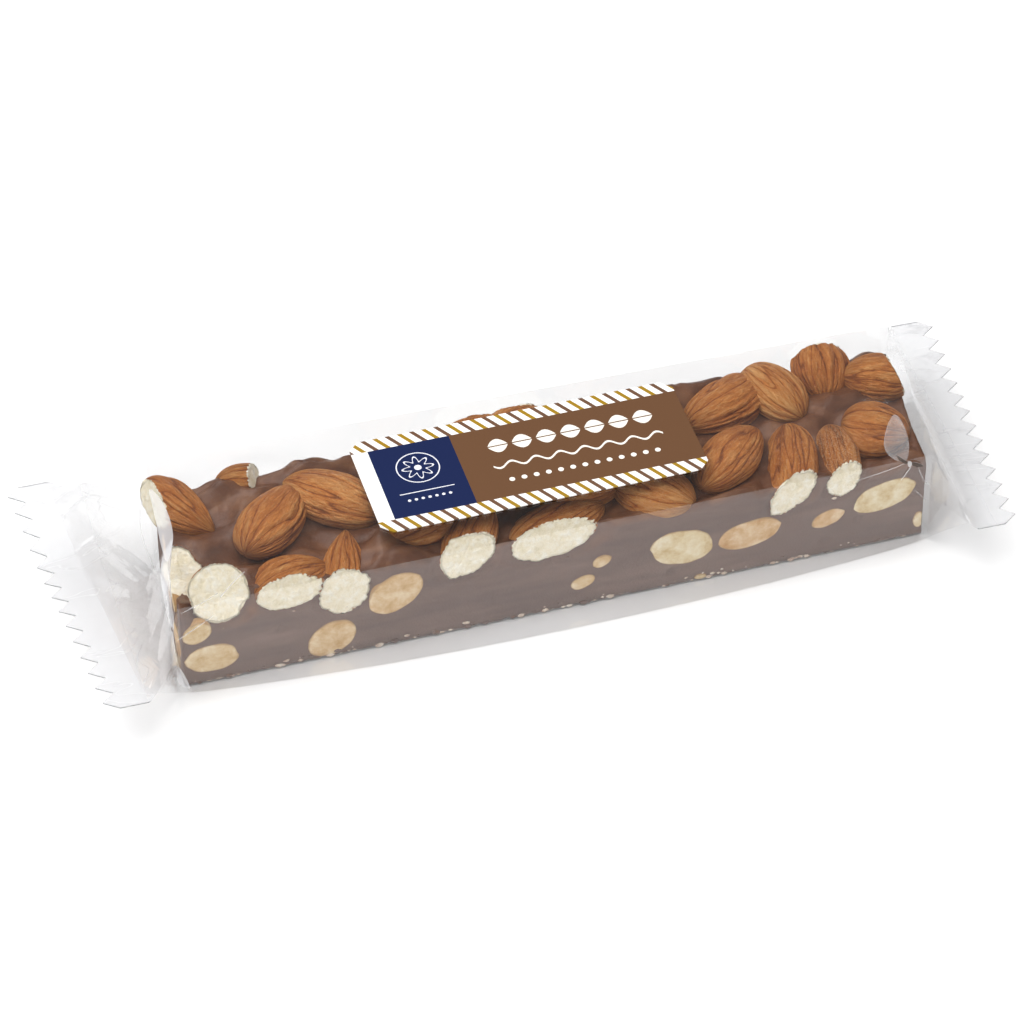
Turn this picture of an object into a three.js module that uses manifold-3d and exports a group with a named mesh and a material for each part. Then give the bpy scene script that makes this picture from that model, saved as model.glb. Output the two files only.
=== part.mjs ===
// A chocolate and almond nougat bar in a clear flow-wrapped film pack, with a paper label on top.
// Millimetres, +Z up. The origin is the middle of the flat base. X runs along the bar, and -Y is the
// side with the smooth knife cut. The film is sealed, so the pack is one solid out to the film: it
// stands on the bar's flat base, is drawn tight over the almonds, and closes at each end into a flat
// crimped fin with a zigzag edge, which lies half way up the bar.
import * as THREE from "three";
import { mergeVertices } from "three/addons/utils/BufferGeometryUtils.js";
import Module from "manifold-3d";

// The bar: a cut block, whose two ends were chopped a little out of square.
const bar = { left: -79.5, right: 85.5, halfWidth: 18.25, endSkew: 3.5 };

// The film tube. Its front foot stands forward of the bar, most of all near the middle. On top it
// sinks by sag between the almonds, but less towards its taut front and back edges.
const film = {
  endGap: 0.8,
  front: -19.3,
  frontFoldHeight: 24,
  frontFoot: -19.8,
  frontFootBulge: 4.8,
  bulgePower: 0.7,
  shoulder: -14.6,
  backLeft: 22.4,
  backRight: 18.9,
  backFoot: 19.4,
  top: 28.2,
  sag: 3,
  sagPower: 0.6,
};

// The end fins: two layers of film sealed flat, with their back corners pulled outwards. The film
// of the bar's upright sides folds away into the outermost earFold at either corner of a fin.
const fin = {
  width: 67.5,
  height: 13.5,
  thickness: 0.6,
  crimp: 9,
  earFold: 3,
  left: -102.5,
  right: 103.5,
  leftFlare: 3.2,
  rightFlare: 2.2,
  teeth: 14,
  toothDepth: 3,
};

// The label: a stiff rectangle with clipped corners, lying flat on the film. It keeps the film from
// sinking for some way past its ends.
const label = {
  length: 72.4,
  width: 29,
  thickness: 0.3,
  gap: 0.3,
  clip: 2.3,
  centre: [1.7, 0.1],
  reach: 12,
};

// The almonds that the film rests on: middle in x and y, and heading in degrees from +X. The hold
// of an almond on the film fades with the square of the way from its middle.
const almondHalfLength = 11.5;
const almondHalfWidth = 6.8;
const holdFade = 1.1;
const almonds = [
  [-74, 10, -50],
  [-58, 14, -15],
  [-55, 0, 45],
  [-41, 4, -42],
  [-55, -13, 15],
  [-44, -13, -100],
  [-70, -14, 20],
  [45, -8, 38],
  [47, 8, 24],
  [60, 9, -70],
  [72, 12, -95],
  [83, 8, -20],
  [77, -8, -30],
  [55, -13, -105],
  [66, -13, -100],
];

// How the film leaves the flat of a fin: 1 is a straight tent, and more is a slower start.
const gussetEase = 1.2;

// How finely the pack's skin is divided: along the bar in mm, and in steps along each gusset and
// round the bar over its top and under its base.
const stepAlong = 2.5;
const gussetSteps = 6;
const topPath = [3, 2, 14, 4];
const footPath = [3, 5, 3];

const { smoothstep, lerp, clamp, degToRad } = THREE.MathUtils;

// How far along the bar x is, from 0 at its left end to 1 at its right end.
function share(x) {
  return clamp((x - bar.left) / (bar.right - bar.left), 0, 1);
}

// How firmly something under the film holds it up at x, y: 1 on an almond or the label, 0 between.
function support(x, y) {
  let free = 1;
  for (const [ax, ay, heading] of almonds) {
    const turn = degToRad(heading);
    const along = (x - ax) * Math.cos(turn) + (y - ay) * Math.sin(turn);
    const across = (y - ay) * Math.cos(turn) - (x - ax) * Math.sin(turn);
    const away = (along / almondHalfLength) ** 2 + (across / almondHalfWidth) ** 2;
    free *= 1 - Math.exp(-holdFade * away);
  }
  const besideLabel = Math.abs(x - label.centre[0]) - label.length / 2;
  free *= smoothstep(besideLabel, 0, label.reach);
  return 1 - free;
}

// How far the film sinks at x, y from 0 to 1, where the tube is z high.
function slack(x, y, z) {
  if (z < film.top - fin.thickness) return 0;
  const back = lerp(film.backLeft, film.backRight, share(x));
  const across = clamp((y - film.shoulder) / (back - film.shoulder), 0, 1);
  return Math.sin(Math.PI * across) ** film.sagPower * (1 - support(x, y));
}

// Where the film is at x as an open tube: two paths from the front to the back, over and under.
// Each path starts and ends at the height of the fins, so that it flattens into one face of a fin.
// A point is its y and z in the tube, and its y in the fin.
function tubePaths(x) {
  const u = share(x);
  const foot = film.frontFoot - film.frontFootBulge * Math.sin(Math.PI * u) ** film.bulgePower;
  const back = lerp(film.backLeft, film.backRight, u);
  const middleFront = lerp(foot, film.front, fin.height / film.frontFoldHeight);
  const middleBack = lerp(film.backFoot, back, fin.height / film.top);
  const edge = fin.width / 2;
  const ear = edge - fin.earFold;
  const over = [
    [middleFront, fin.height, -edge],
    [film.front, film.frontFoldHeight, -ear],
    [film.shoulder, film.top, -ear + 2 * fin.earFold],
    [back, film.top, ear],
    [middleBack, fin.height, edge],
  ];
  const under = [
    [middleFront, fin.height, -edge],
    [foot, 0, -ear],
    [film.backFoot, 0, ear],
    [middleBack, fin.height, edge],
  ];
  return { over: divide(over, topPath), under: divide(under, footPath) };
}

// The points along a bent line, with so many equal steps on each of its legs.
function divide(corners, steps) {
  const points = [corners[0]];
  steps.forEach((count, leg) => {
    const [from, to] = [corners[leg], corners[leg + 1]];
    for (let i = 1; i <= count; i++) {
      points.push(from.map((start, axis) => lerp(start, to[axis], i / count)));
    }
  });
  return points;
}

// One ring of the pack's skin. open is 0 where the film is sealed flat and 1 round the bar.
function ring(x, open) {
  const { over, under } = tubePaths(x);
  const flared = (y) => (x < 0 ? -fin.leftFlare : fin.rightFlare) * (y / (fin.width / 2));
  const place = (path, side) =>
    path.map(([y, z, flatY]) => {
      const flatZ = fin.height + (side * fin.thickness) / 2;
      const sag = side > 0 ? film.sag * slack(x, y, z) : 0;
      const skew = bar.endSkew * smoothstep(y, -bar.halfWidth, bar.halfWidth);
      return [
        x + lerp(flared(flatY), skew, open),
        lerp(flatY, y, open),
        lerp(flatZ, z - sag, open),
      ];
    });
  return [...place(over, 1), ...place(under, -1).reverse()];
}

// The stations along the pack: each is a place on X and how far the film is open there.
function stations() {
  const crimpLeft = fin.left + fin.crimp;
  const crimpRight = fin.right - fin.crimp;
  const barLeft = bar.left - film.endGap;
  const barRight = bar.right + film.endGap;
  const list = [[fin.left, 0]];
  for (let i = 0; i < gussetSteps; i++) {
    const t = i / gussetSteps;
    list.push([lerp(crimpLeft, barLeft, t), t ** gussetEase]);
  }
  const count = Math.round((barRight - barLeft) / stepAlong);
  for (let i = 0; i <= count; i++) {
    list.push([lerp(barLeft, barRight, i / count), 1]);
  }
  for (let i = gussetSteps - 1; i >= 0; i--) {
    const t = i / gussetSteps;
    list.push([lerp(crimpRight, barRight, t), t ** gussetEase]);
  }
  list.push([fin.right, 0]);
  return list;
}

// Rings of equal length joined into one closed skin, with a flat cap at each end.
function loft(rings) {
  const size = rings[0].length;
  const faces = [];
  for (let r = 0; r + 1 < rings.length; r++) {
    for (let i = 0; i < size; i++) {
      const [a, b] = [r * size + i, r * size + ((i + 1) % size)];
      const [c, d] = [a + size, b + size];
      faces.push(a, d, b, a, c, d);
    }
  }
  for (const [start, flip] of [
    [0, false],
    [(rings.length - 1) * size, true],
  ]) {
    for (let i = 1; i + 1 < size; i++) {
      faces.push(...(flip ? [start, start + i + 1, start + i] : [start, start + i, start + i + 1]));
    }
  }
  const geometry = new THREE.BufferGeometry();
  geometry.setAttribute("position", new THREE.Float32BufferAttribute(rings.flat(2), 3));
  geometry.setIndex(faces);
  return geometry;
}

// What is cut off a fin to leave its zigzag edge: a slab outside the pack with teeth towards it.
function zigzagCutter(edge, flare, outwards) {
  const outline = new THREE.Shape();
  const beyond = edge + outwards * fin.crimp;
  const halfWidth = fin.width / 2;
  const side = halfWidth + fin.toothDepth;
  outline.moveTo(beyond, -side);
  for (let i = 0; i <= fin.teeth * 2; i++) {
    const y = lerp(-halfWidth, halfWidth, i / (fin.teeth * 2));
    const tip = edge + outwards * flare * (y / halfWidth);
    const x = i % 2 ? tip : tip - outwards * fin.toothDepth;
    if (i === 0) outline.lineTo(x, -side);
    outline.lineTo(x, y);
    if (i === fin.teeth * 2) outline.lineTo(x, side);
  }
  outline.lineTo(beyond, side);
  const slab = new THREE.ExtrudeGeometry(outline, { depth: fin.crimp, bevelEnabled: false });
  return slab.translate(0, 0, fin.height - fin.crimp / 2);
}

const wasm = await Module();
wasm.setup();

function solid(geometry) {
  const bare = new THREE.BufferGeometry();
  bare.setAttribute("position", geometry.getAttribute("position"));
  if (geometry.index) bare.setIndex(geometry.index);
  const merged = mergeVertices(bare, 1e-3);
  const mesh = new wasm.Mesh({
    numProp: 3,
    vertProperties: new Float32Array(merged.attributes.position.array),
    triVerts: new Uint32Array(merged.index.array),
  });
  return new wasm.Manifold(mesh);
}

function geometryOf(manifold) {
  const { vertProperties, triVerts } = manifold.getMesh();
  const geometry = new THREE.BufferGeometry();
  geometry.setAttribute("position", new THREE.BufferAttribute(vertProperties, 3));
  geometry.setIndex(new THREE.BufferAttribute(triVerts, 1));
  geometry.computeVertexNormals();
  return geometry;
}

function makeWrapper() {
  const skin = solid(loft(stations().map(([x, open]) => ring(x, open))));
  const leftCut = solid(zigzagCutter(fin.left, fin.leftFlare, -1));
  const rightCut = solid(zigzagCutter(fin.right, fin.rightFlare, 1));
  const clearFilm = new THREE.MeshStandardMaterial({
    color: 0x9a7a68,
    roughness: 0.15,
    metalness: 0,
  });
  const mesh = new THREE.Mesh(geometryOf(skin.subtract(leftCut).subtract(rightCut)), clearFilm);
  mesh.name = "wrapper";
  return mesh;
}

function makeLabel() {
  const [halfLength, halfWidth] = [label.length / 2, label.width / 2];
  const outline = new THREE.Shape();
  outline.moveTo(-halfLength + label.clip, -halfWidth);
  outline.lineTo(halfLength - label.clip, -halfWidth);
  outline.lineTo(halfLength, -halfWidth + label.clip);
  outline.lineTo(halfLength, halfWidth - label.clip);
  outline.lineTo(halfLength - label.clip, halfWidth);
  outline.lineTo(-halfLength + label.clip, halfWidth);
  outline.lineTo(-halfLength, halfWidth - label.clip);
  outline.lineTo(-halfLength, -halfWidth + label.clip);
  const slab = new THREE.ExtrudeGeometry(outline, { depth: label.thickness, bevelEnabled: false });
  const paper = new THREE.MeshStandardMaterial({ color: 0x6b4e35, roughness: 0.45, metalness: 0 });
  const mesh = new THREE.Mesh(slab, paper);
  mesh.position.set(label.centre[0], label.centre[1], film.top + label.gap);
  mesh.name = "label";
  return mesh;
}

const pack = new THREE.Group();
pack.add(makeWrapper(), makeLabel());

export default pack;
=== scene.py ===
import math

import bmesh
import bpy
import numpy as np
from mathutils import Matrix, Vector, noise


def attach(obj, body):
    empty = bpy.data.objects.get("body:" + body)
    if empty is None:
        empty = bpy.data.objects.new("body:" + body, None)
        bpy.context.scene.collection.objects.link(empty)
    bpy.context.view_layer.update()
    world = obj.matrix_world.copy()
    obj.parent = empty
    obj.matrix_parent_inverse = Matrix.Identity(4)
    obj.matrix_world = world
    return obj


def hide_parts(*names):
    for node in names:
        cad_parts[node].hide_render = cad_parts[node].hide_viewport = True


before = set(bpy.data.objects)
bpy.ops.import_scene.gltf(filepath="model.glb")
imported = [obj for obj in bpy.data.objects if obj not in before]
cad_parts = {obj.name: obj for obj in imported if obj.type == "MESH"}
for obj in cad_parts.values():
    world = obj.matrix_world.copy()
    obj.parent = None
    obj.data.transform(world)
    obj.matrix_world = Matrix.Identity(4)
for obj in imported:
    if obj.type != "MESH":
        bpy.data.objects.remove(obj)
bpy.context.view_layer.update()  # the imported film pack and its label
metre = 0.001  # sizes below are in mm, and Blender's are in metres
print("frame loaded:", sorted(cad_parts))


# small tools that every piece uses

def linear(hexColour):  # sRGB hex to the linear colour that the shaders want
    parts = [int(hexColour[i:i + 2], 16) / 255 for i in (1, 3, 5)]
    return tuple(c / 12.92 if c <= 0.04045 else ((c + 0.055) / 1.055) ** 2.4 for c in parts) + (1.0,)


def addNode(tree, kind, inputs=None, stops=None, **settings):
    node = tree.nodes.new("ShaderNode" + kind)
    for name, value in settings.items():
        setattr(node, name, value)
    for key, value in (inputs or {}).items():
        if isinstance(value, bpy.types.Node):
            value = value.outputs[0]
        if isinstance(value, bpy.types.NodeSocket):
            tree.links.new(value, node.inputs[key])
        else:
            node.inputs[key].default_value = value
    if stops:  # a colour ramp's stops: place and hex
        while len(node.color_ramp.elements) < len(stops):
            node.color_ramp.elements.new(0.5)
        for element, (at, shade) in zip(node.color_ramp.elements, stops):
            element.position = at
            element.color = linear(shade)
    return node


def newMaterial(name):
    material = bpy.data.materials.new(name)
    material.use_nodes = True
    material.node_tree.nodes.clear()
    return material, material.node_tree


def ease(value, low, high):
    t = np.clip((value - low) / (high - low), 0, 1)
    return t * t * (3 - 2 * t)


def ripple(points, size, seed=0.0):  # smooth noise from -1 to 1, with bumps about size mm across
    scaled = np.asarray(points, float) / np.asarray(size, float) + seed * 17.31
    return np.array([noise.noise(Vector(p)) for p in scaled])


# quads between rings of points that follow one another from the point base on
def ringFaces(base, rings, around, turned=False):
    faces = []
    for r in range(rings - 1):
        for i in range(around):
            a, b = base + r * around + i, base + r * around + (i + 1) % around
            faces.append((a, a + around, b + around, b) if turned else (a, b, b + around, a + around))
    return faces


# a mesh from points in mm, which rides on the pack's one body
def addPiece(name, points, faces, materials, faceMaterial=None, attributes=None):
    mesh = bpy.data.meshes.new(name)
    mesh.from_pydata([tuple(p) for p in np.asarray(points, float) * metre], [], faces)
    for material in materials:
        mesh.materials.append(material)
    if faceMaterial is not None:
        mesh.polygons.foreach_set("material_index", np.asarray(faceMaterial, np.int32))
    for key, values in (attributes or {}).items():
        values = np.asarray(values, np.float32)
        kind = "FLOAT_VECTOR" if values.ndim == 2 else "FLOAT"
        layer = mesh.attributes.new(key, kind, "POINT")
        layer.data.foreach_set("vector" if values.ndim == 2 else "value", values.ravel())
    mesh.polygons.foreach_set("use_smooth", [True] * len(mesh.polygons))
    mesh.update()
    piece = bpy.data.objects.new(name, mesh)
    bpy.context.scene.collection.objects.link(piece)
    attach(piece, "root")
    return piece


def faceOutwards(piece, weld=0.0):  # turns every face out, after joining points that are weld mm apart
    bm = bmesh.new()
    bm.from_mesh(piece.data)
    if weld:
        bmesh.ops.remove_doubles(bm, verts=bm.verts, dist=weld * metre)
    bmesh.ops.recalc_face_normals(bm, faces=bm.faces)
    bm.to_mesh(piece.data)
    bm.free()


# camera, lights and floor

view = {
    "azimuth": -16.6,
    "elevation": 43.0,
    "distance": 1085.0,
    "lens": 175.8,
    "aim": (3.0, 0.0, 0.0),
    "aimRight": -4.8,
    "aimUp": 8.9,
}


def makeCamera():
    a, e = math.radians(view["azimuth"]), math.radians(view["elevation"])
    back = Vector((math.sin(a) * math.cos(e), -math.cos(a) * math.cos(e), math.sin(e)))
    right = Vector((math.cos(a), math.sin(a), 0))
    up = back.cross(right)
    place = Vector(view["aim"]) + back * view["distance"] + right * view["aimRight"] + up * view["aimUp"]
    camera = bpy.data.objects.new("camera", bpy.data.cameras.new("camera"))
    camera.data.lens = view["lens"]
    camera.data.clip_start, camera.data.clip_end = 0.05, 20
    camera.matrix_world = Matrix.Translation(place * metre) @ Matrix((right, up, back)).transposed().to_4x4()
    bpy.context.scene.collection.objects.link(camera)
    bpy.context.scene.camera = camera


studio = {
    "world": 0.16,
    "lamps": {  # places and sizes in metres
        "overhead": {"place": (-0.18, 0.08, 1.2), "aim": (0, 0, 0), "size": 1.25, "watts": 20.5},
        "foodSheen": {"place": (-0.4, 0.7, 0.95), "aim": (0, 0, 0), "size": 0.85, "watts": 6.0},
        "left": {"place": (-0.9, -0.1, 1.0), "aim": (0, 0, 0.01), "size": 0.8, "watts": 4.4},
        "front": {"place": (0.15, -1.25, 0.5), "aim": (0, 0, 0.01), "size": 0.9, "watts": 4.2},
    },
    "floorDrop": 0.25,  # mm between the film and the floor, so that the two don't flicker
    "floorSize": 6.0,
}
shinyFood = bpy.data.collections.new("shinyFood")  # the pieces that the lamp foodSheen falls on


def makeStudio():
    world = bpy.data.worlds.new("studio")
    world.use_nodes = True
    background = world.node_tree.nodes["Background"]
    background.inputs["Color"].default_value = (1, 1, 1, 1)
    background.inputs["Strength"].default_value = studio["world"]
    bpy.context.scene.world = world
    bpy.context.scene.view_settings.view_transform = "Standard"
    for name, lamp in studio["lamps"].items():
        light = bpy.data.lights.new(name, "AREA")
        light.size, light.energy = lamp["size"], lamp["watts"]
        thing = bpy.data.objects.new(name, light)
        # the film would mirror the lamp overhead right over the nuts, so another gives the food its shine
        thing.visible_glossy = name != "overhead"
        thing.visible_diffuse = name != "foodSheen"
        if name == "foodSheen":
            thing.light_linking.receiver_collection = shinyFood
        thing.location = lamp["place"]
        toAim = Vector(lamp["aim"]) - Vector(lamp["place"])
        thing.rotation_euler = toAim.to_track_quat("-Z", "Y").to_euler()
        bpy.context.scene.collection.objects.link(thing)
    # painted board, rolled: pale and nearly matt
    board, tree = newMaterial("paintedBoard")
    paint = addNode(tree, "BsdfPrincipled", {"Base Color": linear("#f1f1f1"), "Roughness": 0.7, "IOR": 1.45})
    addNode(tree, "OutputMaterial", {"Surface": paint})
    half = studio["floorSize"] / 2
    mesh = bpy.data.meshes.new("floor")
    corners = [(-half, -half), (half, -half), (half, half), (-half, half)]
    mesh.from_pydata([(x, y, -studio["floorDrop"] * metre) for x, y in corners], [], [(0, 1, 2, 3)])
    mesh.materials.append(board)
    floor = bpy.data.objects.new("floor", mesh)
    bpy.context.scene.collection.objects.link(floor)


makeCamera()
makeStudio()
print("camera, lights and floor made")


# the bar, the film round it and the film's fins: the same sizes as in the solids

bar = {"left": -79.5, "right": 85.5, "halfWidth": 18.25, "endSkew": 3.5, "height": 22.4}
film = {
    "endGap": 0.8, "front": -19.3, "foldHeight": 24.0, "foot": -19.8, "footBulge": 4.8,
    "bulgePower": 0.7, "shoulder": -14.6, "backLeft": 22.4, "backRight": 18.9, "backFoot": 19.4,
    "top": 28.2, "sag": 3.0, "sagPower": 0.6, "sagFrom": 27.9,
    "clear": 0.3, "nutRoom": 1.05,  # mm off the food, and how much larger each nut is taken to be
}
fin = {
    "width": 67.5, "height": 13.5, "crimp": 9.0, "earFold": 3.0, "left": -102.5, "right": 103.5,
    "leftFlare": 3.2, "rightFlare": 2.2, "earCurl": 3.8, "teeth": 14, "toothDepth": 3.0, "gussetEase": 1.2,
    "sealed": 0.3,  # two layers and the air that the seal holds
}
label = {"length": 72.4, "width": 29.0, "centre": (1.7, 0.1), "reach": 12.0}
prop = {"halfLength": 11.5, "halfWidth": 6.8, "fade": 1.1}
props = [  # the almonds that hold the film up: x, y and heading
    (-74, 10, -50), (-58, 14, -15), (-55, 0, 45), (-41, 4, -42), (-55, -13, 15), (-44, -13, -100),
    (-70, -14, 20), (45, -8, 38), (47, 8, 24), (60, 9, -70), (72, 12, -95), (83, 8, -20), (77, -8, -30),
    (55, -13, -105), (66, -13, -100),
]


def skewAt(y):
    return bar["endSkew"] * ease(y, -bar["halfWidth"], bar["halfWidth"])


def alongAndAside(x, y, middle, degrees):  # places on the top as seen by something that lies turned there
    turn = math.radians(degrees)
    dx, dy = x - middle[0], y - middle[1]
    return dx * math.cos(turn) + dy * math.sin(turn), dy * math.cos(turn) - dx * math.sin(turn)


def slackAt(x, y, back):  # how far the film sinks between what holds it up, from 0 to 1
    free = np.ones_like(x)
    for px, py, heading in props:
        along, aside = alongAndAside(x, y, (px, py), heading)
        far = (along / prop["halfLength"]) ** 2 + (aside / prop["halfWidth"]) ** 2
        free *= 1 - np.exp(-prop["fade"] * far)
    free *= ease(np.abs(x - label["centre"][0]) - label["length"] / 2, 0, label["reach"])
    span = np.clip((y - film["shoulder"]) / (back - film["shoulder"]), 0, 1)
    return np.sin(np.pi * span) ** film["sagPower"] * free


# how high the nuts and the chocolate reach at each place on top, with room for the film
def contentTop(x, y):
    highest = topHeight(x, y) + film["clear"]
    for nut in almonds:
        turn = np.array(nutPlace(nut))[:3, :3]
        form = turn @ np.diag((2 / (film["nutRoom"] * np.array(nut["size"]))) ** 2) @ turn.T
        dx, dy = x + skewAt(y) - nut["at"][0], y - nut["at"][1]
        half = form[0, 2] * dx + form[1, 2] * dy
        rest = form[0, 0] * dx ** 2 + 2 * form[0, 1] * dx * dy + form[1, 1] * dy ** 2 - 1
        root = half ** 2 - form[2, 2] * rest
        rise = np.where(root > 0, (np.sqrt(np.maximum(root, 0)) - half) / form[2, 2], -np.inf)
        highest = np.maximum(highest, nut["at"][2] + rise + film["clear"])
    return highest


# clear film: biaxially drawn polypropylene, heat-sealed at the ends. Clear and very glossy, it mirrors
# about a tenth of what it faces, and is milky only where it is creased or sealed.

def clearFilmMaterial():
    material, tree = newMaterial("clearPolypropyleneFilm")
    place = addNode(tree, "TexCoord").outputs["Object"]
    mm = addNode(tree, "VectorMath", {0: place, "Scale": 1000.0}, operation="SCALE")
    apart = addNode(tree, "SeparateXYZ", {0: mm})
    # how far past the bar's ends, from 0 to 1
    fromMiddle = addNode(tree, "Math", {0: apart.outputs["X"], 1: 3.0}, operation="SUBTRACT")
    outwards = addNode(tree, "Math", {0: fromMiddle}, operation="ABSOLUTE")
    atEnd = addNode(tree, "MapRange", {"Value": outwards, "From Min": 83.0, "From Max": 97.0},
                    interpolation_type="SMOOTHSTEP")
    # creases run along the pack: 7 mm apart and 25 mm long
    stretched = addNode(tree, "Mapping", {"Vector": mm, "Scale": (0.04, 0.14, 0.1)})
    creases = addNode(tree, "TexNoise", {"Vector": stretched, "Scale": 1.0, "Detail": 2.0, "Distortion": 0.8})
    folded = addNode(tree, "Math", {0: creases, 1: 0.5}, operation="SUBTRACT")
    sharp = addNode(tree, "Math", {0: folded}, operation="ABSOLUTE")
    line = addNode(tree, "MapRange", {"Value": sharp, "From Min": 0.0, "From Max": 0.012,
                                      "To Min": 1.0, "To Max": 0.0})
    lineAtEnd = addNode(tree, "Math", {0: line, 1: atEnd}, operation="MULTIPLY")
    # broad slack waves, 6 mm across
    wave = addNode(tree, "TexNoise", {"Vector": mm, "Scale": 0.16, "Detail": 2.0})
    height = addNode(tree, "Math", {0: wave, 1: 0.8}, operation="MULTIPLY")
    creased = addNode(tree, "Math", {0: sharp, 1: atEnd}, operation="MULTIPLY")
    total = addNode(tree, "Math", {0: creased, 1: 2.0, 2: height}, operation="MULTIPLY_ADD")
    bump = addNode(tree, "Bump", {"Height": total, "Strength": 0.4, "Distance": 0.001})
    facing = addNode(tree, "LayerWeight", {"Blend": 0.5, "Normal": bump}).outputs["Facing"]
    steep = addNode(tree, "Math", {0: facing, 1: 3.2}, operation="POWER")
    calmer = addNode(tree, "MapRange", {"Value": atEnd, "To Min": 0.85, "To Max": 0.22})
    mirrored = addNode(tree, "Math", {0: steep, 1: calmer, 2: 0.075}, operation="MULTIPLY_ADD")
    mirroredMore = addNode(tree, "Math", {0: lineAtEnd, 1: 0.10, 2: mirrored}, operation="MULTIPLY_ADD",
                           use_clamp=True)
    milky = addNode(tree, "Math", {0: lineAtEnd, 1: 0.15, 2: 0.015}, operation="MULTIPLY_ADD")
    sealed = addNode(tree, "Math", {0: atEnd, 1: 0.32, 2: milky}, operation="MULTIPLY_ADD")
    through = addNode(tree, "BsdfTransparent", {"Color": (0.985, 0.986, 0.988, 1)})
    # what is milky in the film scatters light, and most of it goes on through
    lit = addNode(tree, "BsdfDiffuse", {"Color": linear("#f8f8fa")})
    backlit = addNode(tree, "BsdfTranslucent", {"Color": linear("#f8f8fa")})
    haze = addNode(tree, "MixShader", {0: 0.7, 1: lit, 2: backlit})
    gloss = addNode(tree, "BsdfGlossy", {"Color": (1, 1, 1, 1), "Roughness": 0.06, "Normal": bump})
    body = addNode(tree, "MixShader", {0: sealed, 1: through, 2: haze})
    whole = addNode(tree, "MixShader", {0: mirroredMore, 1: body, 2: gloss})
    addNode(tree, "OutputMaterial", {"Surface": whole})
    return material


def filmEdgePaintedShadeMaterial():
    # the knife's edge of the same film, painted grey: some light is trapped along it, and the grey is mostly
    # painted shade for the shadow along each edge
    material, tree = newMaterial("filmEdgePaintedShade")
    place = addNode(tree, "TexCoord").outputs["Object"]
    grain = addNode(tree, "TexNoise", {"Vector": place, "Scale": 900.0, "Detail": 2.0})
    grey = addNode(tree, "ValToRGB", {"Fac": grain}, stops=[(0.3, "#909294"), (0.7, "#bcbec0")])
    skin = addNode(tree, "BsdfPrincipled", {"Base Color": grey, "Roughness": 0.3, "IOR": 1.49})
    addNode(tree, "OutputMaterial", {"Surface": skin})
    return material


filmMesh = {
    "pointsPerTooth": 6,
    "earSteps": 18,
    "fins": 12,  # rows of points across a fin
    "gussets": 26,
    "barStep": 1.0,
    "finWave": 0.5,
    "gussetWave": 2.8,
    "shut": 0.03,  # how far the film is open where it still counts as shut
    "flank": 0.02,  # mm that a tooth's flank rises from one point to the next
    "creaseAngle": 24,  # degrees: the film creases where it is pulled over an edge
}


# places along the pack: which end, how far in from the zigzag edge to the crimp, x and how far it is open
def filmStations():
    barEnds = {-1: bar["left"] - film["endGap"], 1: bar["right"] + film["endGap"]}
    crimps = {-1: fin["left"] + fin["crimp"], 1: fin["right"] - fin["crimp"]}
    ends = {}
    for end, crimp in crimps.items():
        ends[end] = [(end, t, crimp, 0.0) for t in np.linspace(0, 1, filmMesh["fins"], endpoint=False)]
        for t in np.linspace(0, 1, filmMesh["gussets"], endpoint=False):
            ends[end].append((end, 1.0, crimp + (barEnds[end] - crimp) * t, t ** fin["gussetEase"]))
    count = int((barEnds[1] - barEnds[-1]) / filmMesh["barStep"]) + 1
    return ends[-1] + [(0, 1.0, x, 1.0) for x in np.linspace(barEnds[-1], barEnds[1], count)] + ends[1][::-1]


# one row of points round the upper layer, side 1, or the lower, side -1. across is where each is in the
# flat fin, from front to back.
def filmRow(side, across, tooth, station):
    end, t, x, opened = station
    edge = fin["width"] / 2
    ear = edge - fin["earFold"]
    share = np.clip((x - bar["left"]) / (bar["right"] - bar["left"]), 0, 1)
    foot = film["foot"] - film["footBulge"] * math.sin(math.pi * share) ** film["bulgePower"]
    back = film["backLeft"] + (film["backRight"] - film["backLeft"]) * share
    middleFront = foot + (film["front"] - foot) * fin["height"] / film["foldHeight"]
    middleBack = film["backFoot"] + (back - film["backFoot"]) * fin["height"] / film["top"]
    flare = (-fin["leftFlare"] if x < 0 else fin["rightFlare"]) * across / edge
    flatX = x + flare
    if t < 1:
        outer = (fin["left"] if end < 0 else fin["right"]) + flare - end * fin["toothDepth"] * (1 - tooth)
        flatX = outer + (flatX - outer) * t
    middle, top = fin["height"], film["top"]
    if side > 0:
        turns = [-edge, -ear, -ear + 2 * fin["earFold"], ear, edge]
        y = np.interp(across, turns, [middleFront, film["front"], film["shoulder"], back, middleBack])
        z = np.interp(across, turns, [middle, film["foldHeight"], top, top, middle])
        sunk = z - film["sag"] * slackAt(np.full_like(y, x), y, back)
        inBar = (x > bar["left"]) & (x < bar["right"]) & (y < bar["halfWidth"])
        held = np.where(inBar, np.minimum(contentTop(np.full_like(y, x), y), top), sunk)
        z = np.where(z > film["sagFrom"], np.maximum(sunk, held), z)
    else:
        turns = [-edge, -ear, ear, edge]
        y = np.interp(across, turns, [middleFront, foot, film["backFoot"], middleBack])
        z = np.interp(across, turns, [middle, 0, 0, middle])
    flatZ = middle + side * fin["sealed"] / 2
    x = flatX * (1 - opened) + (x + skewAt(y)) * opened
    y = across * (1 - opened) + y * opened
    z = flatZ * (1 - opened) + z * opened
    # slack waves in the fins, folds in the gussets and a curl in the left end's back corner
    spot = np.stack([x, across, np.full_like(x, side * opened * 6)], 1)
    z = z + filmMesh["finWave"] * ripple(spot, (26, 16, 9), 3) * ease(1 - opened, 0, 0.4)
    z = z + filmMesh["gussetWave"] * ripple(spot, (14, 7.5, 5), 8) * opened * (1 - opened)
    if end < 0:
        z = z + fin["earCurl"] * ease(across, 8, edge) * ease(1 - opened, 0.3, 1)
    return np.stack([x, y, z], 1)


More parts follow.
